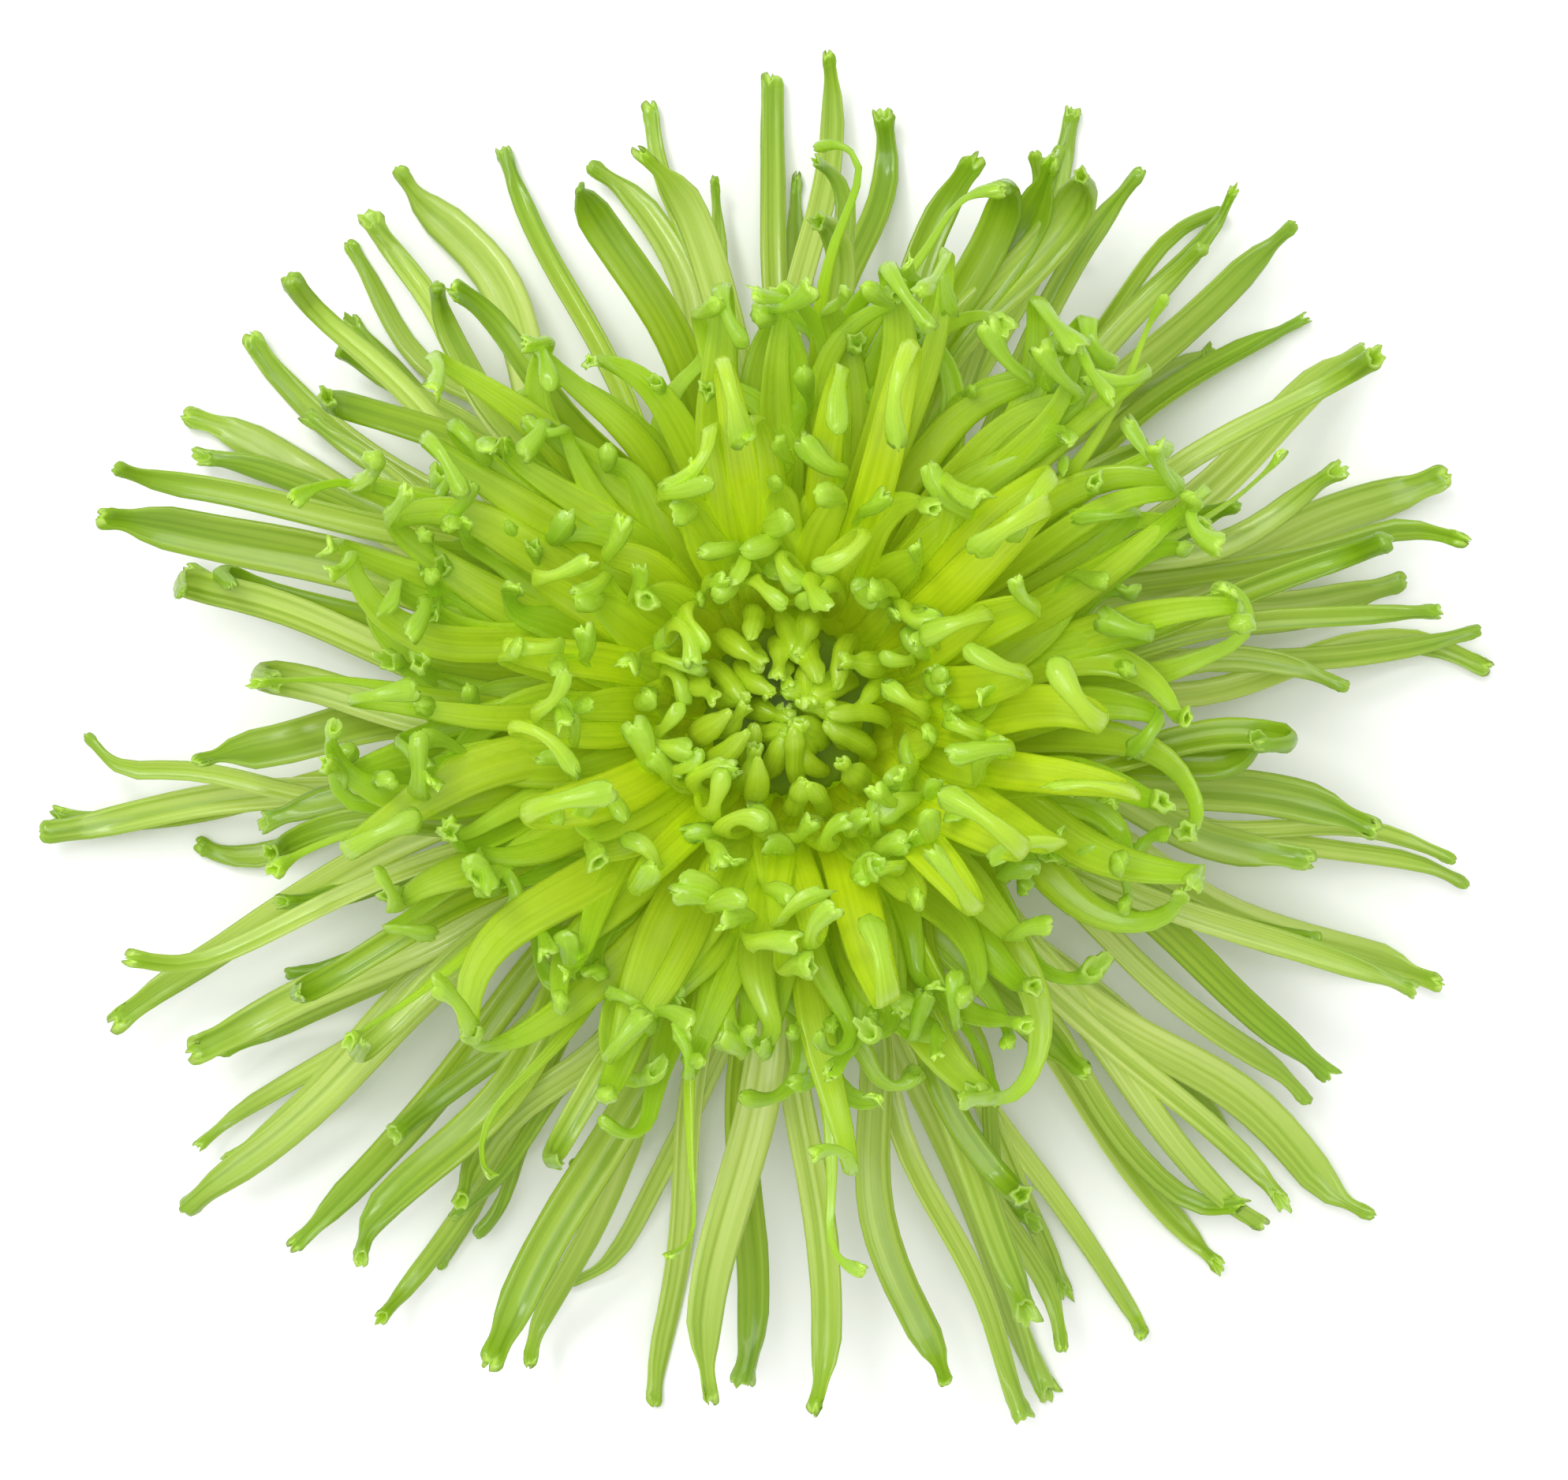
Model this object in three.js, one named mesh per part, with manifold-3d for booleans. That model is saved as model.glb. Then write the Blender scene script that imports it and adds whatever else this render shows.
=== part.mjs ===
// A spider chrysanthemum head, cut close under the bloom and lying face up on a surface.
// Units are millimetres, +Z is up. Bearings are in degrees, anticlockwise from +X.
// The bloom is made of long tubular florets that grow from one small receptacle. Each floret is a
// tapered three-sided tube along a spine, and the florets of one rank are fused to the ring of
// ovaries that they grow from.
import * as THREE from 'three';
import { mergeVertices } from 'three/addons/utils/BufferGeometryUtils.js';
import Module from 'manifold-3d';

const wasm = await Module();
wasm.setup();

// ---- Driving dimensions ----

const CLEARANCE = 0.3; // between neighbouring pieces
const STEM_RADIUS = 2.5;
const STEM_CUT = 0.6; // chamfer at the cut end
const NECK_HEIGHT = 4.6; // where the stem starts to swell into the receptacle
const INVOLUCRE_BOTTOM = 5.2;
const INVOLUCRE_TOP = 9.2;
const INVOLUCRE_RADIUS = 9.2;
const BRACT_THICKNESS = 0.7;
const RECEPTACLE_TOP = 20.4;
const SMALLEST_FLORET = 1.0; // depth of the thinnest floret

// The rings of ovaries on the receptacle, from the lowest up: floor, roof and outer radius. The
// top one widens to its rim.
const OUTER_RING = { floor: 9.5, roof: 14.4, radius: 11.4 };
const MIDDLE_RING = { floor: 14.7, roof: 18.2, radius: 10.4 };
const INNER_RING = { floor: 18.5, roof: 21.3, radius: 8.6 };
const CENTRE_RING = { floor: 21.6, roof: 26.4, radius: 6.2, rim: 7.9 };

// ---- Ranks of florets ----

// How the florets of a rank leave the receptacle and bend. Angles are elevations in degrees:
// start at the root, end before the hook, then the turn of the hook, which begins at the
// given fraction of the length. Each angle comes with the spread of its random part. Neighbours
// leave in three tiers, a step in height and in elevation apart, so that they pass each other.
const RANKS = {
  lowest: { height: 10.6, step: 0.6, tilt: 3, start: [3, 2], end: [-17, 3], hook: [22, 22], hookAt: 0.84 },
  low: { height: 11.9, step: 0.5, tilt: 3, start: [14, 2], end: [-7, 3], hook: [28, 24], hookAt: 0.82 },
  upper: { height: 13.1, step: 0.4, tilt: 2, start: [25, 1], end: [0, 3], hook: [55, 30], hookAt: 0.78 },
  middle: { height: 16.2, step: 0.9, tilt: 2.5, start: [39, 1], end: [13, 2], hook: [110, 40], hookAt: 0.72 },
  inner: { height: 19.4, step: 0.3, tilt: 0, start: [57, 1], end: [36, 3], hook: [120, 30], hookAt: 0.66 },
};

// The outer florets one by one, anticlockwise: bearing and distance of the tip from the bloom's
// axis, sideways bend over the whole length, width, rank, and sideways turn of the tip.
const OUTER_FLORETS = [
  [4.2, 67.7, -6, 2.2, 'lowest', -10], [7.2, 67, -5, 1.9, 'lowest', 0],
  [8.8, 62, -3, 1.7, 'low', 0], [2.8, 53, -14, 2, 'low', -40],
  [12.5, 60.7, -6, 3.4, 'lowest', 0], [16, 58.3, 4, 2.1, 'low', 0],
  [14.5, 66, -8, 2.1, 'low', -45], [20.3, 67.5, -4, 3.4, 'lowest', 0],
  [23.8, 56.8, 3, 2.1, 'low', 0], [24.7, 46, 0, 2.5, 'upper', 0],
  [32.5, 66.3, 9, 3, 'lowest', 0], [31.2, 64, 8, 1.9, 'low', 0],
  [37.8, 63.3, -4, 2.1, 'lowest', 0], [37, 42, 0, 2.1, 'low', 0],
  [44.3, 67.8, 0, 2.8, 'lowest', 0], [41, 54, 0, 3, 'lowest', 0],
  [48.5, 58.8, 2, 1.9, 'low', 0], [50, 66.6, 8, 1.5, 'lowest', 15],
  [49.5, 64.5, -14, 1.4, 'lowest', 0], [57, 61, 10, 2, 'low', 0],
  [60.5, 53.6, 15, 1.4, 'lowest', 0], [65, 65, 14, 1.7, 'lowest', 0],
  [64.5, 59.6, 0, 1.9, 'low', 0], [66.4, 57.3, 0, 1.9, 'low', 0],
  [61.5, 56.2, -6, 3.7, 'upper', 0], [64.5, 56.7, -2, 3.4, 'upper', 0],
  [68, 51.7, 0, 3, 'upper', 0], [71.5, 55.6, -6, 2.8, 'low', 0],
  [81.3, 59.2, 0, 2.2, 'lowest', 0], [86.8, 63.9, 0, 2.1, 'lowest', 0],
  [91.7, 62, 6, 2.1, 'lowest', 0], [87.5, 52, 14, 1.9, 'low', 40],
  [87, 45.4, 0, 2.5, 'upper', 50], [89.3, 52.5, -14, 1.7, 'lowest', 0],
  [98, 52.6, -4, 1.4, 'lowest', 0], [105, 53.4, 16, 2.8, 'upper', 30],
  [102.8, 61, -4, 1.5, 'lowest', 0], [110, 56.8, 6, 2.6, 'lowest', 20],
  [112, 52, 16, 3.2, 'upper', 0], [116.8, 62.2, -10, 1.8, 'lowest', 0],
  [125.5, 65.2, -4, 3.6, 'lowest', 0], [130, 63.6, -8, 2, 'lowest', 0],
  [133, 63, -6, 1.8, 'lowest', 0], [129.7, 52.2, -10, 2.1, 'low', -30],
  [129, 50, 18, 2.2, 'upper', 20], [137.7, 58, -4, 2.1, 'lowest', 0],
  [139, 62.6, -12, 1.9, 'low', -10], [141, 56, -6, 1.7, 'lowest', 0],
  [144.6, 64, -8, 2.2, 'lowest', 0], [148, 55, 0, 1.8, 'lowest', 0],
  [146, 51.6, 10, 2.6, 'upper', 15], [153.5, 65.6, -4, 3.2, 'lowest', 0],
  [156.3, 63, 0, 2.1, 'lowest', 0], [160.2, 67.2, 42, 2.2, 'low', 0],
  [164, 67.8, 0, 3.9, 'low', 0], [166, 59.7, 0, 1.5, 'lowest', 0],
  [169.5, 56.7, -6, 2.6, 'upper', -20], [167.5, 52.8, -20, 2.8, 'upper', -20],
  [177, 47.6, -2, 2.8, 'upper', 0], [181.5, 67.5, -10, 1.7, 'lowest', -40],
  [187.5, 72, 0, 1.7, 'lowest', 0], [188.8, 73, -4, 2.5, 'lowest', 0],
  [185, 55.8, 2, 3.7, 'low', 0], [192, 58.5, -6, 2.2, 'lowest', 0],
  [191.8, 51.7, 0, 2.5, 'low', 0], [195.5, 50, -4, 2.1, 'upper', 0],
  [200, 52, 8, 2, 'low', 0], [200.5, 66.3, -4, 1.7, 'low', -15],
  [204.2, 71, 4, 2.4, 'lowest', 0], [209.5, 65.2, 0, 2.9, 'low', 0],
  [210.5, 63.7, -8, 1.7, 'lowest', 0], [207, 54.3, 2, 2, 'lowest', 0],
  [210, 52.5, -20, 2.1, 'upper', -10], [216, 70.5, 2, 1.7, 'lowest', 0],
  [218.2, 69.3, 8, 1.7, 'lowest', 0], [219.3, 74.6, -6, 2.8, 'low', 0],
  [218, 49.9, -18, 2.2, 'upper', 0], [226.8, 69.6, 8, 2.6, 'lowest', 0],
  [226.8, 55, 0, 2, 'low', 0], [232, 65.8, 4, 3.4, 'low', 0],
  [235.8, 70, 6, 1.7, 'lowest', 0], [237.5, 63, 0, 1.3, 'lowest', 0],
  [238.8, 58.3, 0, 1.3, 'lowest', 0], [236, 57.7, -20, 1.2, 'lowest', 0],
  [236, 55.8, -3, 2.5, 'low', 0], [245.2, 67.2, 0, 3.2, 'low', 0],
  [248, 67, 0, 1.9, 'lowest', 0], [248.5, 58.5, -30, 1.7, 'lowest', 0],
  [244, 48, -30, 1.6, 'lowest', 0], [243.5, 46.5, -25, 2.2, 'upper', -15],
  [258.8, 67.6, 3, 2.1, 'lowest', 0], [263.3, 65, 4, 3.4, 'low', 0],
  [265.8, 64, -3, 2.6, 'lowest', 0], [272, 66, 3, 2.6, 'low', 0],
  [283, 64.8, 6, 2.8, 'low', 0], [288.3, 71, 3, 1.9, 'lowest', 0],
  [291, 70, 5, 2.6, 'lowest', 0], [291.5, 61.5, 12, 2.6, 'low', 0],
  [293.3, 66, 0, 1.9, 'lowest', 0], [295.5, 62.2, 10, 1.7, 'lowest', 0],
  [299.5, 68.6, 8, 1.7, 'lowest', 0], [296, 54.7, -4, 1.3, 'lowest', 0],
  [295.5, 49.8, 8, 2.1, 'upper', 0], [308, 67.5, 8, 2.2, 'lowest', 0],
  [313, 63.7, 14, 1.9, 'lowest', 15], [309, 43.8, 18, 2.8, 'upper', 15],
  [313, 66.6, -2, 2.2, 'lowest', 0], [315.3, 67, 0, 2, 'lowest', 0],
  [315.5, 62.6, 0, 1.8, 'lowest', 0], [319.5, 73.8, -2, 3.4, 'lowest', 0],
  [323.3, 62, -8, 2.2, 'lowest', 0], [326.3, 61.8, -4, 2.6, 'low', 0],
  [337.8, 67.5, 1, 3.4, 'lowest', 0], [336, 64.5, 8, 2.1, 'low', 0],
  [336.5, 54.3, 14, 2.1, 'low', 0], [346, 67.3, 4, 1.7, 'lowest', 0],
  [347.8, 65.2, 0, 1.5, 'lowest', 0], [348.7, 56.6, 1, 3.4, 'low', 0],
  [344, 51.2, 1, 3, 'low', 0], [355.5, 43.3, 5, 2.6, 'upper', 0],
  [357, 43.7, 0, 2.6, 'upper', 60],
];

// The hooked florets between the outer ones and the crater: bearing and distance of the tip.
const MIDDLE_FLORETS = [
  [6.4, 31], [16, 29.5], [21.6, 31], [34.6, 31.5], [36.4, 34.5], [43.3, 34.5], [46.5, 43],
  [50.6, 41.5], [69.7, 36.5], [73.5, 29.7], [82.5, 38], [88, 31], [94.8, 36], [97, 33],
  [105, 30], [113, 33], [120.5, 36], [125, 29.5], [126, 41], [136.8, 33.4], [137.6, 27.3],
  [138.5, 43], [141, 35.6], [147.5, 28], [146.8, 31], [150, 34], [151, 39.5], [149.5, 44],
  [153.8, 40], [156, 27.5], [155, 37], [161.5, 44], [164, 43], [166, 33.5], [167.8, 38.6],
  [170, 35.6], [176, 30], [182, 41], [184, 34], [187, 43], [191, 37], [196.7, 35], [201, 41],
  [208.4, 32.5], [217, 41], [224.8, 29], [232, 34], [245, 39], [249, 28.6], [256.3, 33.4],
  [263, 29.5], [273, 41], [275.7, 34], [289, 29.6], [292.5, 39], [292.8, 34.5], [300, 31],
  [307, 36.7], [311, 34], [320, 31], [331.9, 30.2], [335, 33.4], [334.7, 39.7], [341.8, 37],
  [343.5, 30.6], [345.5, 35], [352, 32], [358, 36],
];

// The upright florets that wall the crater and lean in over it: bearing and distance of the tip.
const INNER_FLORETS = [
  [4.5, 17.3], [10, 24], [18.6, 16.7], [26, 14], [29, 23.3], [37, 24.6], [35.6, 14.3],
  [39, 21.4], [53, 22], [52, 18.6], [63.6, 13], [66, 21], [73.6, 12.2], [81, 12.7], [83, 19.3],
  [90, 17.2], [93.7, 20.6], [99, 24], [98, 13], [107.5, 15], [109, 21.4], [116, 12.4],
  [119.8, 16.3], [123, 20.3], [130, 13], [136.5, 19], [145, 16], [153.5, 21.8], [156, 13.8],
  [159.7, 20], [167.6, 24.9], [165, 15.4], [171, 20.8], [174, 13], [180, 18], [186.5, 14.5],
  [192, 23.4], [199, 13.3], [205.7, 17.8], [207, 23.6], [215, 18.4], [212, 12.2],
  [220, 22.6], [229.8, 14.8], [238, 20], [245.4, 16], [252.9, 21], [258, 13], [265.4, 13],
  [271, 21.3], [282, 19], [275.4, 24], [289.8, 20.4], [286, 13], [292, 17.7], [298.5, 16.5],
  [303.5, 21], [307, 13], [321.3, 13], [313, 18], [324, 18.4], [322, 23.3], [334.4, 12.4],
  [328.8, 15.7], [341, 24], [350, 20], [359.3, 15],
];

// The buds in the middle, in whorls: how many, how far out they stand, their length and width,
// and their elevation at the root and at the tip, past 90 where they close over the middle.
const CENTRE_WHORLS = [
  { count: 5, radius: 1.6, length: 4.8, width: 1.5, start: 80, end: 112 },
  { count: 9, radius: 3.6, length: 9.2, width: 2.1, start: 58, end: 150 },
  { count: 12, radius: 5.7, length: 10.8, width: 2.2, start: 48, end: 158 },
  { count: 16, radius: 7.5, length: 12.0, width: 2.3, start: 42, end: 156 },
];

// The rows of bracts: how many, the bearing of the first, their width, and [radius, height]
// of the outer face at the foot and at the tip.
const BRACT_ROWS = [
  { count: 9, turn: 4, width: 4.6, from: [6.6, 5.9], to: [9.4, 8.9] },
  { count: 9, turn: 23, width: 4.0, from: [5.3, 5.1], to: [8.9, 7.3] },
];
const BRACT_OUTLINE = [[0, 0.7], [0.45, 1], [1, 0.15]];

// ---- Spines ----

// A small repeatable random source, from 0 up to 1.
function randomSource(seed) {
  let state = seed;
  return () => {
    state = (state * 16807) % 2147483647;
    return state / 2147483647;
  };
}

const radians = (degrees) => (degrees * Math.PI) / 180;

function smooth(from, to, value) {
  const x = Math.min(Math.max((value - from) / (to - from), 0), 1);
  return x * x * (3 - 2 * x);
}

const STEPS = 48; // straight steps that a spine is added up from

// Adds up a floret's spine from its root. A station is a point, its direction and its side.
function walk(floret, length, turn) {
  const stations = [];
  const head = radians(turn);
  const point = new THREE.Vector3(
    floret.rootRadius * Math.cos(head), floret.rootRadius * Math.sin(head), floret.rootHeight);
  for (let step = 0; step <= STEPS; step++) {
    const u = step / STEPS;
    const hooked = smooth(floret.hookAt, 1, u);
    const elevation = radians(
      floret.start + (floret.end - floret.start) * u ** 0.8 + floret.hook * hooked);
    const heading = radians(turn + floret.bow * u + floret.sideTurn * hooked);
    const along = new THREE.Vector3(
      Math.cos(elevation) * Math.cos(heading),
      Math.cos(elevation) * Math.sin(heading),
      Math.sin(elevation));
    const side = new THREE.Vector3(-Math.sin(heading), Math.cos(heading), 0);
    stations.push({ u, point: point.clone(), along, side });
    point.addScaledVector(along, length / STEPS);
  }
  return stations;
}

// Finds the length and the root's bearing that bring the tip to its place.
function spineTo(floret, bearing, distance) {
  let length = distance;
  let turn = bearing;
  for (let pass = 0; pass < 8; pass++) {
    const tip = walk(floret, length, turn).at(-1).point;
    const reached = Math.hypot(tip.x, tip.y);
    length *= 1 + 0.9 * (distance - reached) / Math.max(distance, reached);
    const off = bearing - THREE.MathUtils.radToDeg(Math.atan2(tip.y, tip.x));
    turn += ((off + 540) % 360) - 180;
  }
  return walk(floret, length, turn);
}

// Bends a low floret in height, so that its tip lies at the given level.
function settle(stations, level) {
  const drop = level - stations.at(-1).point.z;
  for (const station of stations) station.point.z += drop * station.u ** 2;
}

// ---- Solids ----

function solidOf(geometry) {
  const bare = new THREE.BufferGeometry();
  bare.setAttribute('position', geometry.getAttribute('position'));
  bare.setIndex(geometry.getIndex());
  const merged = mergeVertices(bare, 1e-4);
  return new wasm.Manifold(new wasm.Mesh({
    numProp: 3,
    vertProperties: new Float32Array(merged.getAttribute('position').array),
    triVerts: new Uint32Array(merged.getIndex().array),
  }));
}

// Closes a row of rings, each a list of as many points, into one solid.
function solidFromRings(rings) {
  const around = rings[0].length;
  const positions = rings.flat().flatMap((p) => [p.x, p.y, p.z]);
  const index = [];
  for (let ring = 0; ring + 1 < rings.length; ring++) {
    for (let k = 0; k < around; k++) {
      const a = ring * around + k;
      const b = ring * around + ((k + 1) % around);
      index.push(a, b, a + around, b, b + around, a + around);
    }
  }
  const last = (rings.length - 1) * around;
  for (let k = 1; k + 1 < around; k++) {
    index.push(0, k + 1, k);
    index.push(last, last + k, last + k + 1);
  }
  const geometry = new THREE.BufferGeometry();
  geometry.setAttribute('position', new THREE.Float32BufferAttribute(positions, 3));
  geometry.setIndex(index);
  const solid = solidOf(geometry);
  if (solid.volume() > 0) return solid;
  return solidFromRings(rings.map((ring) => [...ring].reverse()));
}

// The outline of a floret along its length: narrow root, broad middle, neck and swollen tip.
const QUILL = [[0, 0.35], [0.35, 0.9], [0.65, 1], [0.9, 0.8], [1, 0.6]];
const HOOK = [[0, 0.3], [0.4, 0.9], [0.66, 1], [0.84, 0.72], [1, 0.72]];
const BUD = [[0, 0.4], [0.5, 1], [0.8, 0.9], [1, 0.4]];

// A three-sided tube along the spine: flat above, with a keel below.
function floretSolid(stations, outline, width) {
  const rings = outline.map(([u, share]) => {
    const station = stations[Math.round(u * STEPS)];
    const half = (width * share) / 2;
    const depth = Math.max(SMALLEST_FLORET, width * share * 0.62);
    const above = new THREE.Vector3().crossVectors(station.along, station.side);
    const top = station.point.clone().addScaledVector(above, depth * 0.4);
    const corner = (p) => new THREE.Vector3(p.x, p.y, Math.max(p.z, 0));
    return [
      corner(top.clone().addScaledVector(station.side, half)),
      corner(top.clone().addScaledVector(station.side, -half)),
      corner(station.point.clone().addScaledVector(above, -depth * 0.6)),
    ];
  });
  return solidFromRings(rings);
}

// A solid of revolution from [radius, height] pairs, closed on itself.
function turned(profile, segments = 20) {
  const points = [...profile, profile[0]].map(([r, z]) => new THREE.Vector2(r, z));
  const geometry = new THREE.LatheGeometry(points, segments);
  geometry.rotateX(Math.PI / 2);
  const solid = solidOf(geometry);
  if (solid.volume() > 0) return solid;
  const reversed = [...profile].reverse();
  return turned(reversed, segments);
}

// The receptacle's radius inside the rings of ovaries.
function coreRadius(height) {
  return THREE.MathUtils.mapLinear(height, INVOLUCRE_TOP, RECEPTACLE_TOP, 4.6, 2.6);
}

// A ring of packed ovaries, which the florets of one rank grow from.
function ovaryRing(ring) {
  return turned([
    [coreRadius(ring.floor) + CLEARANCE, ring.floor],
    [ring.radius, ring.floor],
    [ring.radius - 0.4, ring.roof],
    [coreRadius(ring.roof) + CLEARANCE, ring.roof],
  ]);
}

// ---- Pieces ----

const spread = (random, [middle, half]) => middle + (random() * 2 - 1) * half;

const tierOf = (index) => (index % 3) - 1;

function outerFlorets() {
  const random = randomSource(4127);
  const solids = OUTER_FLORETS.map(([bearing, distance, bow, width, rankName, sideTurn], i) => {
    const rank = RANKS[rankName];
    const stations = spineTo({
      rootRadius: OUTER_RING.radius - 1.6,
      rootHeight: rank.height + tierOf(i) * rank.step,
      start: spread(random, rank.start) + tierOf(i) * rank.tilt,
      end: spread(random, rank.end) + tierOf(i) * rank.tilt,
      hook: spread(random, rank.hook),
      hookAt: rank.hookAt,
      bow,
      sideTurn,
    }, bearing, distance);
    const lift = random();
    if (rankName === 'lowest') settle(stations, 0.4 + 2.5 * (tierOf(i) + 1) + lift);
    return floretSolid(stations, QUILL, width);
  });
  return wasm.Manifold.union([ovaryRing(OUTER_RING), ...solids]);
}

function middleFlorets() {
  const random = randomSource(977);
  const rank = RANKS.middle;
  const solids = MIDDLE_FLORETS.map(([bearing, distance], i) => {
    const steeper = (38 - distance) * 0.35;
    const stations = spineTo({
      rootRadius: MIDDLE_RING.radius - 1.6,
      rootHeight: rank.height + tierOf(i) * rank.step,
      start: spread(random, rank.start) + tierOf(i) * rank.tilt + steeper,
      end: spread(random, rank.end) + tierOf(i) * rank.tilt,
      hook: spread(random, rank.hook),
      hookAt: rank.hookAt,
      bow: spread(random, [0, 8]),
      sideTurn: spread(random, [0, 36]),
    }, bearing, distance);
    return floretSolid(stations, HOOK, spread(random, [3.0, 0.5]));
  });
  return wasm.Manifold.union([ovaryRing(MIDDLE_RING), ...solids]);
}

function innerFlorets() {
  const random = randomSource(3203);
  const rank = RANKS.inner;
  const solids = INNER_FLORETS.map(([bearing, distance], i) => {
    const steeper = 20 - distance;
    const stations = spineTo({
      rootRadius: INNER_RING.radius - 1.4 - steeper * 0.08,
      rootHeight: rank.height + tierOf(i) * rank.step,
      start: spread(random, rank.start) + tierOf(i) * rank.tilt + steeper * 0.8,
      end: spread(random, rank.end) + tierOf(i) * rank.tilt + steeper * 2.2,
      hook: spread(random, rank.hook) - steeper * 3,
      hookAt: rank.hookAt,
      bow: spread(random, [0, 6]),
      sideTurn: spread(random, [0, 24]),
    }, bearing, distance);
    return floretSolid(stations, HOOK, spread(random, [2.8, 0.5]));
  });
  return wasm.Manifold.union([ovaryRing(INNER_RING), ...solids]);
}

function centreFlorets() {
  const random = randomSource(611);
  const solids = [];
  let turn = 0;
  for (const whorl of CENTRE_WHORLS) {
    for (let k = 0; k < whorl.count; k++) {
      const floret = {
        rootRadius: whorl.radius + spread(random, [0, 0.4]),
        rootHeight: CENTRE_RING.roof - 1,
        start: whorl.start + spread(random, [0, 6]),
        end: whorl.end + spread(random, [0, 20]),
        hook: 0,
        hookAt: 0.9,
        bow: spread(random, [0, 45]),
        sideTurn: 0,
      };
      const bearing = turn + (360 / whorl.count) * (k + 0.5 * (random() - 0.5));
      const stations = walk(floret, whorl.length * (0.88 + 0.24 * random()), bearing);
      solids.push(floretSolid(stations, BUD, whorl.width * (0.88 + 0.24 * random())));
    }
    turn += 137.5;
  }
  const cushion = turned([
    [0, CENTRE_RING.floor + 1],
    [coreRadius(CENTRE_RING.floor) + CLEARANCE, CENTRE_RING.floor],
    [CENTRE_RING.radius, CENTRE_RING.floor],
    [CENTRE_RING.rim, CENTRE_RING.roof - 0.8],
    [CENTRE_RING.rim - 0.8, CENTRE_RING.roof],
    [0, CENTRE_RING.roof + 0.8],
  ]);
  return wasm.Manifold.union([cushion, ...solids]);
}

// The largest body of a join: sealed hollows are filled and loose scraps dropped.
function oneBody(solid) {
  const bodies = solid.simplify(0.03).decompose();
  return bodies.reduce((best, body) => (body.volume() > best.volume() ? body : best));
}

function stemAndReceptacle() {
  return turned([
    [0, 0],
    [STEM_RADIUS - STEM_CUT, 0],
    [STEM_RADIUS, STEM_CUT],
    [STEM_RADIUS, NECK_HEIGHT - 1.4],
    [STEM_RADIUS + 0.9, NECK_HEIGHT],
    [coreRadius(INVOLUCRE_TOP) - 0.4, INVOLUCRE_BOTTOM + 0.6],
    [coreRadius(INVOLUCRE_TOP), INVOLUCRE_TOP],
    [coreRadius(RECEPTACLE_TOP), RECEPTACLE_TOP - 0.8],
    [0, RECEPTACLE_TOP],
  ]);
}

// The cup of bracts under the bloom: a shallow cup with pointed bracts raised on its outside.
function involucre() {
  const inner = coreRadius(INVOLUCRE_TOP) + CLEARANCE;
  const cup = turned([
    [inner, INVOLUCRE_TOP],
    [inner, INVOLUCRE_BOTTOM],
    [inner + 1.2, INVOLUCRE_BOTTOM],
    [INVOLUCRE_RADIUS - 1.6, INVOLUCRE_BOTTOM + 1.4],
    [INVOLUCRE_RADIUS - 0.6, INVOLUCRE_TOP - 0.4],
    [INVOLUCRE_RADIUS - 0.9, INVOLUCRE_TOP],
  ], 12);
  const bracts = [];
  for (const row of BRACT_ROWS) {
    for (let k = 0; k < row.count; k++) {
      const bearing = radians(row.turn + (360 / row.count) * k);
      bracts.push(bract(row, bearing));
    }
  }
  return wasm.Manifold.union([cup, ...bracts]);
}

// One bract: a thin pointed scale that follows the cup from its floor to near its rim.
function bract(row, bearing) {
  const side = new THREE.Vector3(-Math.sin(bearing), Math.cos(bearing), 0);
  const rings = BRACT_OUTLINE.map(([u, share]) => {
    const radius = THREE.MathUtils.lerp(row.from[0], row.to[0], Math.sin((u * Math.PI) / 2));
    const height = THREE.MathUtils.lerp(row.from[1], row.to[1], u ** 1.6);
    const half = (row.width * share) / 2;
    const middle = new THREE.Vector3(
      radius * Math.cos(bearing), radius * Math.sin(bearing), height);
    const inward = new THREE.Vector3(-Math.cos(bearing), -Math.sin(bearing), 0.8)
      .normalize().multiplyScalar(BRACT_THICKNESS);
    const left = middle.clone().add(inward).addScaledVector(side, half);
    const right = middle.clone().add(inward).addScaledVector(side, -half);
    return [left, middle, right];
  });
  return solidFromRings(rings);
}

function meshOf(solid, name, color) {
  const { vertProperties, triVerts } = solid.getMesh();
  const geometry = new THREE.BufferGeometry();
  geometry.setAttribute('position', new THREE.BufferAttribute(vertProperties, 3));
  geometry.setIndex(new THREE.BufferAttribute(triVerts, 1));
  geometry.computeVertexNormals();
  const material = new THREE.MeshStandardMaterial({ color, roughness: 0.5, metalness: 0 });
  const mesh = new THREE.Mesh(geometry, material);
  mesh.name = name;
  return mesh;
}

const bloom = new THREE.Group();
bloom.add(
  meshOf(oneBody(stemAndReceptacle()), 'stem_and_receptacle', '#7f9a4a'),
  meshOf(oneBody(involucre()), 'involucre', '#6f8f3c'),
  meshOf(oneBody(outerFlorets()), 'outer_florets', '#b9d777'),
  meshOf(oneBody(middleFlorets()), 'middle_florets', '#9cc53a'),
  meshOf(oneBody(innerFlorets()), 'inner_florets', '#a9c62a'),
  meshOf(oneBody(centreFlorets()), 'centre_florets', '#b5d84a'),
);

// The middle of the outline stands over the origin, so the axis of the bloom is a little off it.
const outline = new THREE.Box3().setFromObject(bloom);
const middle = outline.getCenter(new THREE.Vector3());
bloom.position.set(-middle.x, -middle.y, 0);

export default bloom;
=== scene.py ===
"""A spider chrysanthemum head, cut close under the bloom and lying face up.

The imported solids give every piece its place. The florets are drawn again here along the same
spines, as soft hollow tubes with open knobbly tips. Sizes are in millimetres until a mesh is
made, and Blender's own objects are in metres. Bearings are degrees, anticlockwise from +X.
"""

import math
from functools import partial

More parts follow.
